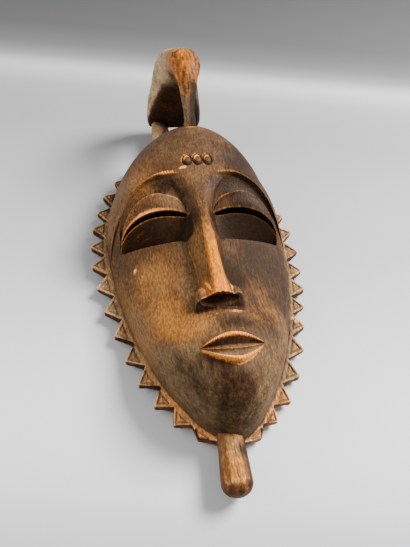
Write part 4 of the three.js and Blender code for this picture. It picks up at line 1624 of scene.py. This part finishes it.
@dataclass
class Face:
    """The face itself: the vaulted front with brows and eyes, the nose, the lips, the marks and the hollow."""

    form: FaceForm
    nose: Nose
    lips: Lips
    wear: FaceWear = FaceWear()
    columns: int = 201
    wall: float = 10.5
    hollow_top_y: float = 97.0
    hollow_chin_y: float = -152.0
    hollow_half_width: float = 60.5
    hollow_floor_z: float = 0.5
    gouge_depth: float = 0.55
    mark_xs: tuple = (-6.0, 1.9, 9.8)
    mark_y: float = 23.5
    mark_radius: float = 3.6
    mark_height: float = 1.4
    root_passes: int = 40

    def build(self, bench: Bench) -> Object:
        """Makes the face and cuts its hollow and its eye slits.

        Args:
            bench: the mesh maker.

        Returns:
            The face.
        """
        face = self.front(bench)
        bench.combine(face, self.nose.solid(bench), Work.JOIN)
        bench.combine(face, self.lips.solid(bench), Work.JOIN)
        bench.combine(face, self.hollow(bench), Work.CUT)
        self.soften_root(bench, face)
        bench.combine(face, self.nose.scoop(bench), Work.CUT)
        for side in Side:
            bench.combine(face, self.slit(bench, side), Work.CUT)
        return face

    def soften_root(self, bench: Bench, obj: Object) -> None:
        """Blends the root of the nose into the forehead, and eases the other inner corners beside it.

        Args:
            bench: the mesh maker.
            obj: the face, before its slits are cut.
        """
        points = bench.coordinates(obj)
        x, y, z = points.T
        root = ease(-16, -2, y) * (1 - ease(24, 34, y)) * (1 - ease(21, 29, np.abs(x))) * ease(30, 40, z)
        beside = 0.35 * ease(-92, -80, y) * (1 - ease(-30, -10, y)) * (1 - ease(12, 16, np.abs(x))) * ease(30, 36, z)
        bench.relax(obj, unit(root + beside), self.root_passes)
        points = bench.coordinates(obj)
        on_top = points[:, 2] > self.form.vault(points[:, 0], points[:, 1]) - 4
        points[:, 2] += self.marks(points[:, 0], points[:, 1]) * on_top
        bench.move_points(obj, points)

    def front(self, bench: Bench) -> Object:
        """Makes the vaulted front with its brows and eyes.

        Args:
            bench: the mesh maker.

        Returns:
            The front, closed by a flat underside.
        """
        form = self.form
        # Row numbers, each with the count of rows that lead up to it: more where the carving is finer.
        stations = [
            (-170.2, 1), (-168, 5), (-160, 10), (-146, 14), (-104, 38), (-60, 38), (-36, 24), (-35, 4),
            (-21, 22), (-18, 4), (-6, 18), (-5, 4), (11, 20), (12, 4), (20, 12), (44, 26), (92, 46),
            (104, 14), (109.5, 9), (111.6, 5),
        ]
        nominals = [stations[0][0]]
        for (start, _), (end, count) in zip(stations, stations[1:]):
            nominals += np.linspace(start, end, count + 1)[1:].tolist()
        u = np.linspace(-1, 1, self.columns)
        fractions = np.sin(math.pi / 2 * (0.62 * u + 0.38 * u**3))
        grid = face_surface(form, np.array(nominals), fractions)
        chin = np.array([0, form.outline.chin_y, form.foot_z])
        top = np.array([0, form.outline.top_y, form.foot_z])
        return bench.vault_solid("carved_face", grid, chin, top, 0.0)

    def from_mark(self, x: Array, y: Array, centre: float) -> Array:
        """How far each place lies from the middle of a forehead mark, in shares of its radius."""
        return np.hypot((x - centre) / (self.mark_radius * 0.86), (y - self.mark_y) / (self.mark_radius * 1.15))

    def marks(self, x: Array, y: Array) -> Array:
        """Height of the three small raised marks on the forehead, each with a groove round it and a dimple.

        Args:
            x: places across the face.
            y: places along the face.

        Returns:
            Millimetres to add.
        """
        total = np.zeros_like(x)
        for centre in self.mark_xs:
            r = self.from_mark(x, y, centre)
            total = total + self.mark_height * np.sqrt(unit(1 - r * r)) - 0.9 * bump(r, 1.12, 0.18)
            total = total - 0.5 * bump(np.hypot(x - centre, (y - self.mark_y - 1) * 0.7), 0, 1.0)
        return total

    def mark_grooves(self, x: Array, y: Array) -> Array:
        """1 in the groove round each forehead mark, which is darkened as painted shade, and 0 elsewhere."""
        return np.max([bump(self.from_mark(x, y, centre), 1.1, 0.2) for centre in self.mark_xs], axis=0)

    def hollow(self, bench: Bench) -> Object:
        """The solid of the space behind the face, with the marks of a gouge.

        Args:
            bench: the mesh maker.

        Returns:
            The solid to cut out.
        """
        half = (self.hollow_top_y - self.hollow_chin_y) / 2
        middle = (self.hollow_top_y + self.hollow_chin_y) / 2
        ys = np.linspace(self.hollow_chin_y, self.hollow_top_y, 92)[1:-1]
        u = np.linspace(-1, 1, 61)
        fractions = np.sin(math.pi / 2 * (0.7 * u + 0.3 * u**3))
        away = unit(np.abs(ys - middle) / half)
        outline = np.minimum(
            self.hollow_half_width * np.sqrt(1 - away**2.6), np.maximum(self.form.outline.width(ys) - self.wall, 0.5)
        )
        x = outline[:, None] * fractions
        y = np.repeat(ys[:, None], len(fractions), axis=1)
        roof = (self.form.vault(x, y) - self.wall - 1.5 * ease(-70, -36, y)) * np.sqrt(1 - away**4)[:, None]
        low = self.hollow_floor_z
        z = np.maximum(roof * np.sqrt(1 - np.abs(fractions) ** 8) + low, low)
        points = np.stack([x, y, z], axis=2)
        gouge = Ripple(31, 13.0)(points.reshape(-1, 3), (1, 1.8, 1)).reshape(z.shape)
        points[..., 2] = np.maximum(z + self.gouge_depth * gouge * (1 - np.abs(fractions) ** 4), low)
        chin, top = np.array([0, self.hollow_chin_y, low]), np.array([0, self.hollow_top_y, low])
        return bench.vault_solid("hollow", points, chin, top, -2.0)

    def slit(self, bench: Bench, side: Side) -> Object:
        """The curved band cut through at one eye.

        Args:
            bench: the mesh maker.
            side: which eye.

        Returns:
            The solid to cut out.
        """
        form = self.form
        ax = np.linspace(form.eye_inner[0] + 0.6, form.eye_outer[0] - 1.2, 90)
        opened = form.openness(ax)
        centre = np.stack([side.value * ax, form.slit_y(ax), form.slit_z(ax) - form.slit_drop / 2 * opened], axis=1)
        inward, upward = np.array([0, 0.62, -0.78]), np.array([0, 0.78, 0.62])
        gap = 2.2 * np.maximum(opened, 0.3)
        depth = lerp(30, 16, ease(40, form.eye_outer[0], ax))
        out = np.full_like(ax, -9.0)
        ring = np.stack([
            centre + np.outer(up, upward) + np.outer(along, inward)
            for up, along in ((-gap, out), (gap, out), (gap, depth), (-gap, depth))
        ], axis=1)
        return bench.loft("slit", ring if side is Side.LEFT else ring[:, ::-1])

    def dress(self, bench: Bench, obj: Object) -> None:
        """Stores how the face is worn, dusty and darkened, with painted highlights on edges and lip rims and painted
        shade in its hollows, under the nose and down its right side.

        Args:
            bench: the mesh maker.
            obj: the face.
        """
        here = FaceMap(bench, obj, self.form, self.nose, self.lips)
        layers = {
            Attribute.WORN: self.worn, Attribute.EDGE: self.edges, Attribute.RECESS_DIRT_AND_SHADE: self.recess_dirt_and_shade,
            Attribute.TONE: self.tone, Attribute.DUST_AND_PAINTED_LIGHT: self.film, Attribute.STAIN_AND_SHADE: self.stains_and_shade,
        }
        for name, values in layers.items():
            bench.store(obj, name, values(here))

    def worn(self, here: FaceMap) -> Array:
        """Where handling has rubbed the high places through.

        Args:
            here: the map of the face.

        Returns:
            A number for each vertex.
        """
        total = 0.12 * unit(here.broad / 6) + 0.2 * unit(here.fine / 2.2) * (1 - here.wings)
        total += (0.06 + 0.6 * ease(-34, -66, here.y)) * here.ridge * (1 + 0.3 * here.fibres)
        total += spotted(here.x, here.y, self.wear.rubbed)
        return total * here.front * (1 - here.lips) * (1 - 0.7 * here.jaw) * (1 - 0.8 * here.chin)

    def edges(self, here: FaceMap) -> Array:
        """Where sharp edges, the rim of the lips and chips are lightened: scuffs and chips, and painted highlights
        along the edges, the lip rims and the line between the lips.

        Args:
            here: the map of the face.

        Returns:
            A number from 0 to 1 for each vertex.
        """
        total = unit(here.sharp * 1.3 - 0.1) * 0.45 * (1 - here.lips) * (1 - 0.9 * here.ridge) + self.rubbed_and_highlit_lines(here)
        # The lips' rims and the line between them: pale worn wood, brightened further as painted highlights, most on
        # the lower rim.
        rim = bump(here.across, 0.86, 0.2) + 2.0 * bump(here.across, -0.88, 0.19)
        rim = 1.3 * rim * (1 - 0.62 * self.lips.notches(here.x, here.across))
        total += (rim + 0.5 * bump(here.across, -0.035, 0.05)) * here.lips + self.chips(here)
        return unit(total * (1 - here.eye_corner) * (1 - here.under_nose)) * here.front

    def rubbed_and_highlit_lines(self, here: FaceMap) -> Array:
        """Where the carved lines of the eyes, the brows and the nose are lightened: rubbed bright, and painted
        highlights along their edges, some only on the left.

        Args:
            here: the map of the face.

        Returns:
            Numbers from 0 to 1.
        """
        form = self.form
        x, y, ax = here.x, here.y, here.ax
        inside, along = form.inside_eye(ax), form.along_eye(ax)
        gap = form.slit_gap * form.openness(ax)
        over_slit, over_brow = y - form.slit_y(ax), y - form.brow_y(ax)
        wide = bump(along, 0.62, 0.3) * (x < 0)
        eye = 0.46 * bump(y - form.lid_y(ax), -0.1, 0.5)
        eye += (0.34 + 0.6 * wide) * bump(over_slit - gap, 0.5, 0.7 + 0.9 * wide)
        eye += 0.5 * bump(over_slit + gap, -0.4, 0.45) + 0.26 * bump(y - form.ledge(ax), -0.35, 0.45)
        total = eye * inside + 0.3 * bump(over_brow, 1.0, 1.0) * form.brow_fade(ax) * (1 - 0.6 * ease(46, 66, ax))
        ticks = (0.5 + 0.5 * np.cos(2 * math.pi * (x + 0.3 * over_brow) / 1.9)) * bump(over_brow, 2.4, 1.9)
        total += 0.75 * ticks * (bump(x, -24, 9) + 0.8 * bump(x, 26, 9))
        total += 0.38 * bump(ax - form.half(y), 0.4, 0.4) * ease(-82, -76, y) * (1 - ease(-46, -38, y)) * (x < 0)
        wing = np.hypot((ax - form.wing_at[0]) / form.wing_size[0], (y - form.wing_at[1]) / form.wing_size[1])
        total += 0.2 * bump(wing, 0.97, 0.07) * ease(-82, -86, y) * ease(-98, -95, y) * (ax < 9)
        total += spotted(x, y, self.wear.wing_lines)
        total += 0.4 * bump(y - self.nose.tip_line(x), 0.7, 0.5) * (1 - ease(14, 16, ax))
        return unit(total)

    def chips(self, here: FaceMap) -> Array:
        """Small fresh chips and scratches, and painted highlights on the upper left of the forehead marks' rims.

        Args:
            here: the map of the face.

        Returns:
            Numbers over 0.
        """
        total = spotted(here.x, here.y, self.wear.chips)
        for centre in self.mark_xs:
            r = self.from_mark(here.x, here.y, centre)
            # Painted highlights on the rims of each mark, on their upper left side.
            lit = ease(-0.2, 0.7, (here.y - self.mark_y - 0.8 * (here.x - centre)) / self.mark_radius)
            total += (0.8 * bump(r, 0.72, 0.3) + 0.5 * bump(r, 1.35, 0.16)) * lit
        return total

    def recess_dirt_and_shade(self, here: FaceMap) -> Array:
        """Where the carved corners and creases are darkened: settled grime, and painted shade."""
        total = unit(-here.fine / 3.5 - 0.12) * ease(8, 20, here.z) + unit(-here.sharp * 1.6 - 0.12)
        return unit(total) * here.front * (1 - 0.6 * bump(here.ax - self.form.half(here.y), 0, 2))

    def tone(self, here: FaceMap) -> Array:
        """How far the dark wood has turned golden.

        Args:
            here: the map of the face.

        Returns:
            A number from 0 to 1 for each vertex.
        """
        x, y = here.x, here.y
        total = spotted(x, y, self.wear.tone) + (0.7 + 0.3 * ease(-24, -60, y)) * here.ridge
        total += 0.5 * here.beside_nose * ease(-96, -90, y)
        total = total * (1 - 0.85 * here.chin) + spotted(x, y, [self.wear.tone_of_chin])
        total += 0.06 * here.uneven * (1 - here.chin)
        total = total * (1 - 0.85 * here.jaw) * (1 - here.lips) * (1 - here.under_nose)
        total += 0.2 * here.deep_under_nose + 0.65 * here.jaw * (1 - here.chin)
        return unit(total) * here.front

    def film(self, here: FaceMap) -> Array:
        """Where old dust lies: on the dome, the jaw, beside the nose and inside the lips.

        Args:
            here: the map of the face.

        Returns:
            A number from 0 to 1 for each vertex.
        """
        x, y, across = here.x, here.y, here.across
        total = spotted(x, y, self.wear.film) + 0.35 * ease(6, 50, y) * (1 - 0.6 * ease(8, 36, x))
        total += 0.8 * here.jaw + 0.35 * here.beside_nose * ease(-84, -78, y) + 0.3 * here.chin + 0.12 * here.uneven
        total += 1.1 * ease(15, 8, here.inset) * ease(-98, -118, y) * (x > 0)
        lower_lip = 1.1 * ease(-0.06, -0.14, across) * (1 - ease(-0.66, -0.8, across))
        total += (lower_lip + 0.9 * bump(across, 0.1, 0.09)) * here.lips
        return unit(total * (1 - 0.8 * bump(np.abs(across), 0.92, 0.14) * here.lips)) * here.front

    def stains_and_shade(self, here: FaceMap) -> Array:
        """Where the face is darkened: the old dark surface and grime, and painted shade in the eye grooves, the troughs
        over the lids, round the forehead marks, inside the upper lip, under the lower lip's rim, under the nose and
        down the right side.

        Args:
            here: the map of the face.

        Returns:
            A number for each vertex.
        """
        form = self.form
        x, y, ax, across = here.x, here.y, here.ax, here.across
        inside = form.inside_eye(ax)
        gap = form.slit_gap * form.openness(ax)
        over_slit, over_lid = y - form.slit_y(ax), y - form.lid_y(ax)
        # Below the slit the eye is dark finish, deepened as painted shade; the lids are a little darker, and the
        # troughs above them are painted shade.
        eye = ease(0.2, 1.4, y - form.ledge(ax)) * (1 - ease(-0.9, 0.1, over_slit + gap))
        lid = ease(0.6, 2, over_slit) * ease(-0.4, -1.6, over_lid)
        trough = ease(0.5, 2, over_lid) * (1 - ease(-4, -1, y - form.brow_y(ax)))
        total = (0.85 * eye + 0.22 * lid + trough * (0.36 * patch(ax, y, (24, 3), (19, 11), -15) + 0.26)) * inside
        total += 0.6 * patch(ax, y, (form.eye_inner[0] - 2.5, -26), (4.5, 11))
        # Inside the upper lip, just under the lower lip's rim and in the notches: painted shade.
        upper_lip = 0.7 * ease(0.16, 0.28, across) * (1 - ease(0.5, 0.7, across))
        total += (upper_lip + 0.5 * bump(across, -1.03, 0.05) + 0.16 * self.lips.notches(x, across)) * here.lips
        total += (0.15 + 0.18 * ease(-36, -16, x)) * here.chin * (1 - 0.7 * ease(8, 18, x))
        # Darker down the right side of the face: painted shade against the key light from the right.
        total += 0.32 * ease(4, 34, x) * ease(60, 20, y) * (1 - here.lips) + 0.14 * ease(8, 30, x) * ease(30, 0, y)
        total += 0.3 * bump(x, 9, 6) * ease(-10, -24, y) * ease(-88, -80, y) + 0.3 * ease(4, 40, y)
        total += spotted(x, y, self.wear.stains_and_shade) + 0.9 * self.mark_grooves(x, y)
        # The underside of the nose: painted shade, a little lighter deep in its hollow.
        total += 0.95 * here.under_nose - 0.22 * here.deep_under_nose
        total += 0.16 * unit(-here.fibres) * here.ridge + 0.14 * unit(here.streaks) * here.chin
        return unit(total) * here.front + 0.4 * (1 - here.front)


@dataclass
class Peg:
    """The round peg under the chin."""

    x: float = -3.0
    y: float = -156.0
    z: float = 11.0
    radius: float = 8.7
    waist_radius: float = 7.9
    base_radius: float = 8.2
    length: float = 42.5
    lean: float = 0.035
    end_y: float = -199.0736
    end_length: float = 6.0

    def build(self, bench: Bench) -> Object:
        """Makes the peg as a turned and whittled solid.

        Args:
            bench: the mesh maker.

        Returns:
            The peg.
        """
        end = self.length - self.end_length
        body = np.linspace(0, end, 60)
        radius = Curve(((0, self.base_radius), (end * 0.45, self.waist_radius), (end, self.radius)))(body)
        t = np.linspace(0, 1, 18)[1:]
        along = np.concatenate([body, end + 6.4 * np.sin(t * 0.95 * math.pi / 2)])
        radius = np.concatenate([radius, self.radius * np.cos(0.12 + t * 0.9 * (math.pi / 2 - 0.12))])
        angle = np.linspace(0, 2 * math.pi, 120, endpoint=False)
        flats = 0.16 * np.cos(9 * angle + 0.7) + 0.1 * np.cos(5 * angle)
        rings = []
        for d, r in zip(along, radius):
            rr = r + flats + 0.18 * np.sin(3 * angle + d * 0.11)
            px, pz = rr * np.cos(angle), rr * np.sin(angle)
            across = math.cos(self.lean) * px - math.sin(self.lean) * d
            y = self.y - math.cos(self.lean) * d - math.sin(self.lean) * px
            rings.append(np.stack([self.x + across, y, self.z + pz], axis=1))
        return bench.loft("peg", np.array(rings))

    def dress(self, bench: Bench, obj: Object) -> None:
        """Stores the peg's wear, dust and staining, with painted light on its top and painted shade on its underside
        and right side.

        Args:
            bench: the mesh maker.
            obj: the peg.
        """
        points, normals = bench.coordinates(obj), bench.normals(obj)
        x, y, _ = points.T
        upward = unit(normals[:, 2])
        end = ease(self.end_y + 9, self.end_y + 1, y)
        rim = bump(y, self.end_y + 6.5, 2.0)
        uneven = Ripple(41, 18.0)(points, (1, 4, 1))
        # The top is lighter: rubbed wear, and painted light from above.
        bench.store(obj, Attribute.WORN, unit(0.4 * upward * (1 - end) * ease(-164, -176, y)))
        bench.store(obj, Attribute.EDGE, 0.45 * rim * upward)
        bench.store(obj, Attribute.RECESS_DIRT_AND_SHADE, np.zeros(len(points)))
        bench.store(obj, Attribute.TONE, unit(0.6 * upward * ease(-160, -174, y) + 0.15 * uneven))
        bench.store(obj, Attribute.DUST_AND_PAINTED_LIGHT, unit(1.5 * patch(x, y, (self.x + 1, -176), (7, 5)) + 0.2 * upward))
        # Darker on the underside and the right side: painted shade.
        stain = 0.5 * end + 0.4 * unit(-normals[:, 2]) + 0.2 * unit(uneven) + 0.75 * ease(0.35, 0.95, normals[:, 0])
        stain += 0.4 * patch(x, y, (self.x + 2, -177), (6, 4))
        bench.store(obj, Attribute.STAIN_AND_SHADE, unit(stain))


@dataclass
class BirdCrest:
    """The bird on the head: tail, back, arched neck, head and a long beak that touches the forehead."""

    spine: tuple = (
        (170, 12, 1, 27, 6), (171, 22, 1.2, 28.6, 9.5), (169, 42, 1.4, 27.4, 13), (166, 59, 1.2, 25, 14),
        (159, 74, 0.4, 21.4, 13.5), (147, 86, 0.6, 16.8, 12.5), (131, 94.5, 3, 13, 11),
        (116, 96.6, 4, 12.4, 10.2), (103, 92.5, 3.6, 8.9, 9), (93, 84, 3.3, 6.4, 7.5), (83, 74, 3.6, 4.9, 5.5),
        (73.5, 63, 4, 4.9, 4.5),
    )
    legs: tuple = ((-15.0, 8.5), (15.6, 5.6))
    leg_z: tuple = (8.0, 20.5)
    leg_y: tuple = (94.0, 163.0)
    leg_spread: float = 2.5

    def build(self, bench: Bench) -> Object:
        """Makes the bird and its two legs.

        Args:
            bench: the mesh maker.

        Returns:
            The bird.
        """
        bird = self.body(bench)
        for middle, half in self.legs:
            bench.combine(bird, self.leg(bench, middle, half), Work.JOIN)
        return bird

    def body(self, bench: Bench) -> Object:
        """Makes the body, neck, head and beak as one bent bar whose section changes along it.

        Args:
            bench: the mesh maker.

        Returns:
            The bar.
        """
        rows = np.array(self.spine, float)
        t = np.linspace(0, 1, 150)
        path = spline(rows[:, [2, 0, 1]], t)
        size = spline(rows[:, 3:5], t)
        tangent = np.gradient(path, axis=0)
        tangent /= np.linalg.norm(tangent, axis=1, keepdims=True)
        outward = np.stack([np.zeros(len(t)), tangent[:, 2], -tangent[:, 1]], axis=1)
        outward /= np.linalg.norm(outward, axis=1, keepdims=True)
        angle = np.linspace(0, 2 * math.pi, 96, endpoint=False)
        cos, sin = np.cos(angle), np.sin(angle)
        rings = []
        for i, share in enumerate(t):
            half, thick = size[i]
            roundness = float(lerp(0.5, 1, ease(0.42, 0.56, share)))
            pinch = 0.42 * float(ease(0.05, 0.36, share) * (1 - ease(0.42, 0.56, share)))
            ridged = float(lerp(roundness, 1.65, ease(0.68, 0.8, share)))
            power = np.where(sin > 0, ridged, roundness)
            out = thick * np.sign(sin) * np.abs(sin) ** power
            across = half * np.sign(cos) * np.abs(cos) ** power
            across = across * (1 - pinch * (0.5 - out / thick / 2))
            rings.append(path[i] + across[:, None] * np.array([1, 0, 0]) + out[:, None] * outward[i])
        return bench.loft("bird_crest", np.array(rings))

    def leg(self, bench: Bench, middle: float, half: float) -> Object:
        """One leg, a thick bar from the dome to the bird's body.

        Args:
            bench: the mesh maker.
            middle: where it stands, to the left or right.
            half: half its width.

        Returns:
            The leg.
        """
        low, high = self.leg_z
        shape = (
            (-1, low + 2), (-0.7, low), (0.7, low), (1, low + 2),
            (1, high - 3), (0.6, high), (-0.6, high), (-1, high - 3),
        )
        rings = []
        for y in np.linspace(self.leg_y[1], self.leg_y[0], 30):
            spread = self.leg_spread * float(ease(self.leg_y[1], self.leg_y[0], y))
            centre = middle + math.copysign(spread, middle)
            rings.append([[centre + dx * half, y, z] for dx, z in shape])
        return bench.loft("leg", np.array(rings))

    def dress(self, bench: Bench, obj: Object) -> None:
        """Makes the bird uneven and stores its wear, dust and staining, with painted light on its left-facing sides and
        painted shade on its belly, its right-facing sides and the faces turned to the face.

        Args:
            bench: the mesh maker.
            obj: the bird.
        """
        points, normals = bench.coordinates(obj), bench.normals(obj)
        uneven = 0.3 * Ripple(51, 24.0)(points) + 0.1 * Ripple(52, 8.0)(points)
        bench.move_points(obj, points + normals * uneven[:, None])
        normals = bench.normals(obj)
        x, y, z = points.T
        towards_face, leftward, rightward = unit(-normals[:, 1]), unit(-normals[:, 0]), unit(normals[:, 0] * 1.5)
        sharp = bench.curvature(obj, 3)
        warp = 4.0 * Ripple(55, 15.0)(points)
        mottled = Ripple(54, 2.4)(points, (1, 3.5, 3.5))
        head = ease(79, 94, z + 0.5 * warp) * ease(-19, -8, x) * ease(148, 124, y + warp)
        gold = head * (1 - 0.7 * ease(2, 8, x))
        beak = ease(100, 94, y) * ease(60, 66, z)
        belly = ease(0.25, 0.7, towards_face) * ease(72, 60, z) * ease(128, 136, y)
        legs = ease(26, 18, z)
        # The belly's darkening is painted shade.
        bench.store(obj, Attribute.RECESS_DIRT_AND_SHADE, unit(unit(-sharp * 1.5 - 0.05) + 0.3 * belly))
        bench.store(obj, Attribute.WORN, unit(0.3 * gold * (0.7 + 0.8 * mottled)))
        # A painted highlight along the beak's ridge.
        bench.store(obj, Attribute.EDGE, unit(sharp * 1.2 - 0.08) * (1 - 0.6 * belly) + 0.35 * beak * bump(x, 1.4, 0.8))
        tone = gold * (0.8 + 0.3 * mottled) + 0.3 * head + 0.15 * Ripple(53, 20.0)(points)
        bench.store(obj, Attribute.TONE, unit(tone))
        # Pale film on the left-facing sides: dust, and painted light.
        flank = unit(1.2 * leftward) * (1 - 0.75 * beak) * (1 - 0.6 * legs)
        flank = flank * (1 - 0.75 * patch(y, z, (134, 88), (18, 15)))
        back = 0.48 * (1 - belly) * ease(34, 76, z + 2 * warp) * (1 - beak)
        film = (flank + back) * (1 - head) + 0.25 * (1 - belly) * ease(24, 18, z) * ease(-10, -15, x)
        film += 0.35 * head * ease(-6, -12, x) + 0.15 * beak
        bench.store(obj, Attribute.DUST_AND_PAINTED_LIGHT, unit(film) * (1 - belly))
        # Darker beak facets, belly, right-facing sides, faces turned to the face, the right of the head and the lower
        # legs' inner sides: painted shade, with some staining.
        stain = 0.12 * belly + 0.25 * beak + 0.3 * beak * rightward + 0.4 * (head - gold)
        stain += 0.6 * patch(y, z, (136, 81), (7, 8)) * ease(-2, -6, x) * ease(-14, -10, x)
        stain += 0.25 * ease(0.3, 0.9, towards_face) * (1 - head) * (1 - beak) + 0.7 * rightward * (1 - head)
        stain += 0.6 * ease(24, 18, z) * ease(-14, -9, x) * (y < 160)
        bench.store(obj, Attribute.STAIN_AND_SHADE, unit(stain + 0.35 * head * unit(-mottled)))


@dataclass(frozen=True)
class Lamp:
    """One soft rectangular light that points at the carving: its place, size, power in watts and colour."""

    name: str
    at: tuple[float, float, float]
    size: tuple[float, float]
    power: float
    colour: tuple[float, float, float]


@dataclass
class Studio:
    """The pale floor with its painted light and shade, the soft light and the camera."""

    camera_at: tuple = (-49.74, -245.98, 250.02)
    heading: float = 14.30
    pitch: float = 48.88
    roll: float = 6.896
    focal_px: float = 414.92
    width_px: float = 410.0
    sensor_mm: float = 36.0
    floor_reach: float = 6.0
    floor_direction: tuple = (0.172, 0.985, 0)
    floor_run: tuple = (-0.4, 0.8)
    # Painted light and shade on the floor: brighter and darker bands and the grey behind the carving.
    floor_painted_light: tuple = (
        (-0.4, 159), (-0.215, 186), (-0.195, 210), (-0.16, 220), (-0.12, 211), (-0.07, 191), (0, 172), (0.08, 165),
        (0.17, 144), (0.265, 147), (0.298, 176), (0.318, 178), (0.345, 123), (0.385, 92), (0.46, 75), (0.8, 63),
    )
    sky_colour: tuple = (0.94, 0.96, 1.0, 1)
    sky_strength: float = 0.55
    lamp_aim: tuple = (0, 0, 0.03)
    lamps: tuple[Lamp, ...] = (
        Lamp("key", (1.12, 0.36, 1.14), (0.7, 0.6), 93.0, (1.0, 0.99, 0.97)),
        Lamp("side", (-1.4, 0.35, 0.8), (1.2, 0.9), 18.0, (1.0, 0.985, 0.96)),
    )

    def build(self, bench: Bench) -> None:
        """Sets up the studio.

        Args:
            bench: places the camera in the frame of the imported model.
        """
        self.place_camera(bench)
        self.lay_floor(bench)
        self.set_lights()

    def place_camera(self, bench: Bench) -> None:
        """Puts the camera at the photograph's angle.

        Args:
            bench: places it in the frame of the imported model.
        """
        yaw, pitch, roll = (math.radians(a) for a in (self.heading, self.pitch, self.roll))
        ahead = Vector((math.sin(yaw) * math.cos(pitch), math.cos(yaw) * math.cos(pitch), -math.sin(pitch)))
        right = Vector((math.cos(yaw), -math.sin(yaw), 0))
        above = right.cross(ahead)
        right, above = (
            math.cos(roll) * right + math.sin(roll) * above,
            -math.sin(roll) * right + math.cos(roll) * above,
        )
        data = bpy.data.cameras.new("camera")
        data.sensor_fit, data.sensor_width = "HORIZONTAL", self.sensor_mm
        data.lens = self.focal_px / self.width_px * self.sensor_mm
        data.clip_start, data.clip_end = 0.01, 50
        camera = bpy.data.objects.new("camera", data)
        place = bench.to_world(np.array([self.camera_at]))[0]
        turn = Matrix((right, above, -ahead)).transposed().to_4x4()
        camera.matrix_world = Matrix.Translation(Vector(place)) @ turn
        bpy.context.scene.collection.objects.link(camera)
        bpy.context.scene.camera = camera

    def lay_floor(self, bench: Bench) -> None:
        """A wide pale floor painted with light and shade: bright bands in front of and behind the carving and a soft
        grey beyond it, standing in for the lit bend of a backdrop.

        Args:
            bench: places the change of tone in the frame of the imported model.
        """
        r = self.floor_reach
        mesh = bpy.data.meshes.new("floor")
        mesh.from_pydata([(-r, -r, 0), (r, -r, 0), (r, r, 0), (-r, r, 0)], [], [[0, 1, 2, 3]])
        floor = bpy.data.objects.new("floor", mesh)
        bpy.context.scene.collection.objects.link(floor)
        mat = bpy.data.materials.new("pale floor")
        mat.use_nodes = True
        w = Wiring(mat.node_tree)
        place = w.add("TexCoord").outputs["Object"]
        turned = w.add("VectorMath", {0: place, 1: self.floor_direction}, operation="DOT_PRODUCT").outputs["Value"]
        behind = w.math("SUBTRACT", turned, bench.offset[1] * MM)
        start, end = self.floor_run
        ramp = w.add("ValToRGB", {0: w.add("MapRange", {0: behind, 1: start, 2: end}).outputs[0]})
        ramp.color_ramp.interpolation = "B_SPLINE"
        while len(ramp.color_ramp.elements) < len(self.floor_painted_light):
            ramp.color_ramp.elements.new(0.5)
        for element, (where, tone) in zip(ramp.color_ramp.elements, self.floor_painted_light):
            element.position = (where - start) / (end - start)
            element.color = shade(tone, tone, tone + 1)
        shader = mat.node_tree.nodes["Principled BSDF"]
        mat.node_tree.links.new(ramp.outputs["Color"], shader.inputs["Base Color"])
        shader.inputs["Roughness"].default_value = 0.6
        shader.inputs["Specular IOR Level"].default_value = 0.2
        mesh.materials.append(mat)

    def hang(self, lamp: Lamp) -> None:
        """Puts a light in its place.

        Args:
            lamp: the light.
        """
        data = bpy.data.lights.new(lamp.name, "AREA")
        data.shape = "RECTANGLE"
        data.size, data.size_y = lamp.size
        data.energy, data.color = lamp.power, lamp.colour
        obj = bpy.data.objects.new(lamp.name, data)
        at = Vector(lamp.at)
        turn = (Vector(self.lamp_aim) - at).to_track_quat("-Z", "Y").to_matrix().to_4x4()
        obj.matrix_world = Matrix.Translation(at) @ turn
        bpy.context.scene.collection.objects.link(obj)

    def set_lights(self) -> None:
        """An even fill from all round, a soft light from the right and a weak one from the left."""
        world = bpy.data.worlds.new("studio")
        world.use_nodes = True
        bpy.context.scene.world = world
        sky = world.node_tree.nodes["Background"]
        sky.inputs["Color"].default_value = self.sky_colour
        sky.inputs["Strength"].default_value = self.sky_strength
        for lamp in self.lamps:
            self.hang(lamp)


def place_offset(border: ToothedBorder, peg: Peg) -> tuple[float, float, float]:
    """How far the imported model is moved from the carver's frame, from its box and two carved ends.

    Args:
        border: gives the outermost teeth.
        peg: gives the lowest end.

    Returns:
        The move in millimetres.
    """
    low, high = (np.array(corner, float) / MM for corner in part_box("mask"))
    tips = np.concatenate([border.tip_points(row) for row in border.rows])
    middle = (tips[:, 0].min() + tips[:, 0].max()) / 2
    return (float((low[0] + high[0]) / 2 - middle), float(low[1] - peg.end_y), float(low[2]))


def main() -> None:
    """Builds the carving piece by piece, then the studio."""
    logging.basicConfig(level=logging.INFO, format="%(name)s %(message)s")
    outline = FaceOutline()
    form = FaceForm(outline)
    border, peg, bird = ToothedBorder(outline), Peg(), BirdCrest()
    face = Face(form, Nose(form), Lips(form))
    bench = Bench(place_offset(border, peg))
    groups = WoodGroups()
    pieces = (
        (face, FACE_FINISH, 40.0), (border, BORDER_FINISH, 42.0), (peg, PEG_FINISH, 60.0), (bird, BIRD_FINISH, 42.0),
    )
    for maker, finish, crisp_degrees in pieces:
        obj = maker.build(bench)
        maker.dress(bench, obj)
        bench.finish_mesh(obj, crisp_degrees)
        obj.data.materials.clear()
        obj.data.materials.append(finish.material(groups))
        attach(obj, "root")
        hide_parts("mask")
        LOG.info("%s: %d faces", obj.name, len(obj.data.polygons))
    Studio().build(bench)


if __name__ == "__main__":
    main()
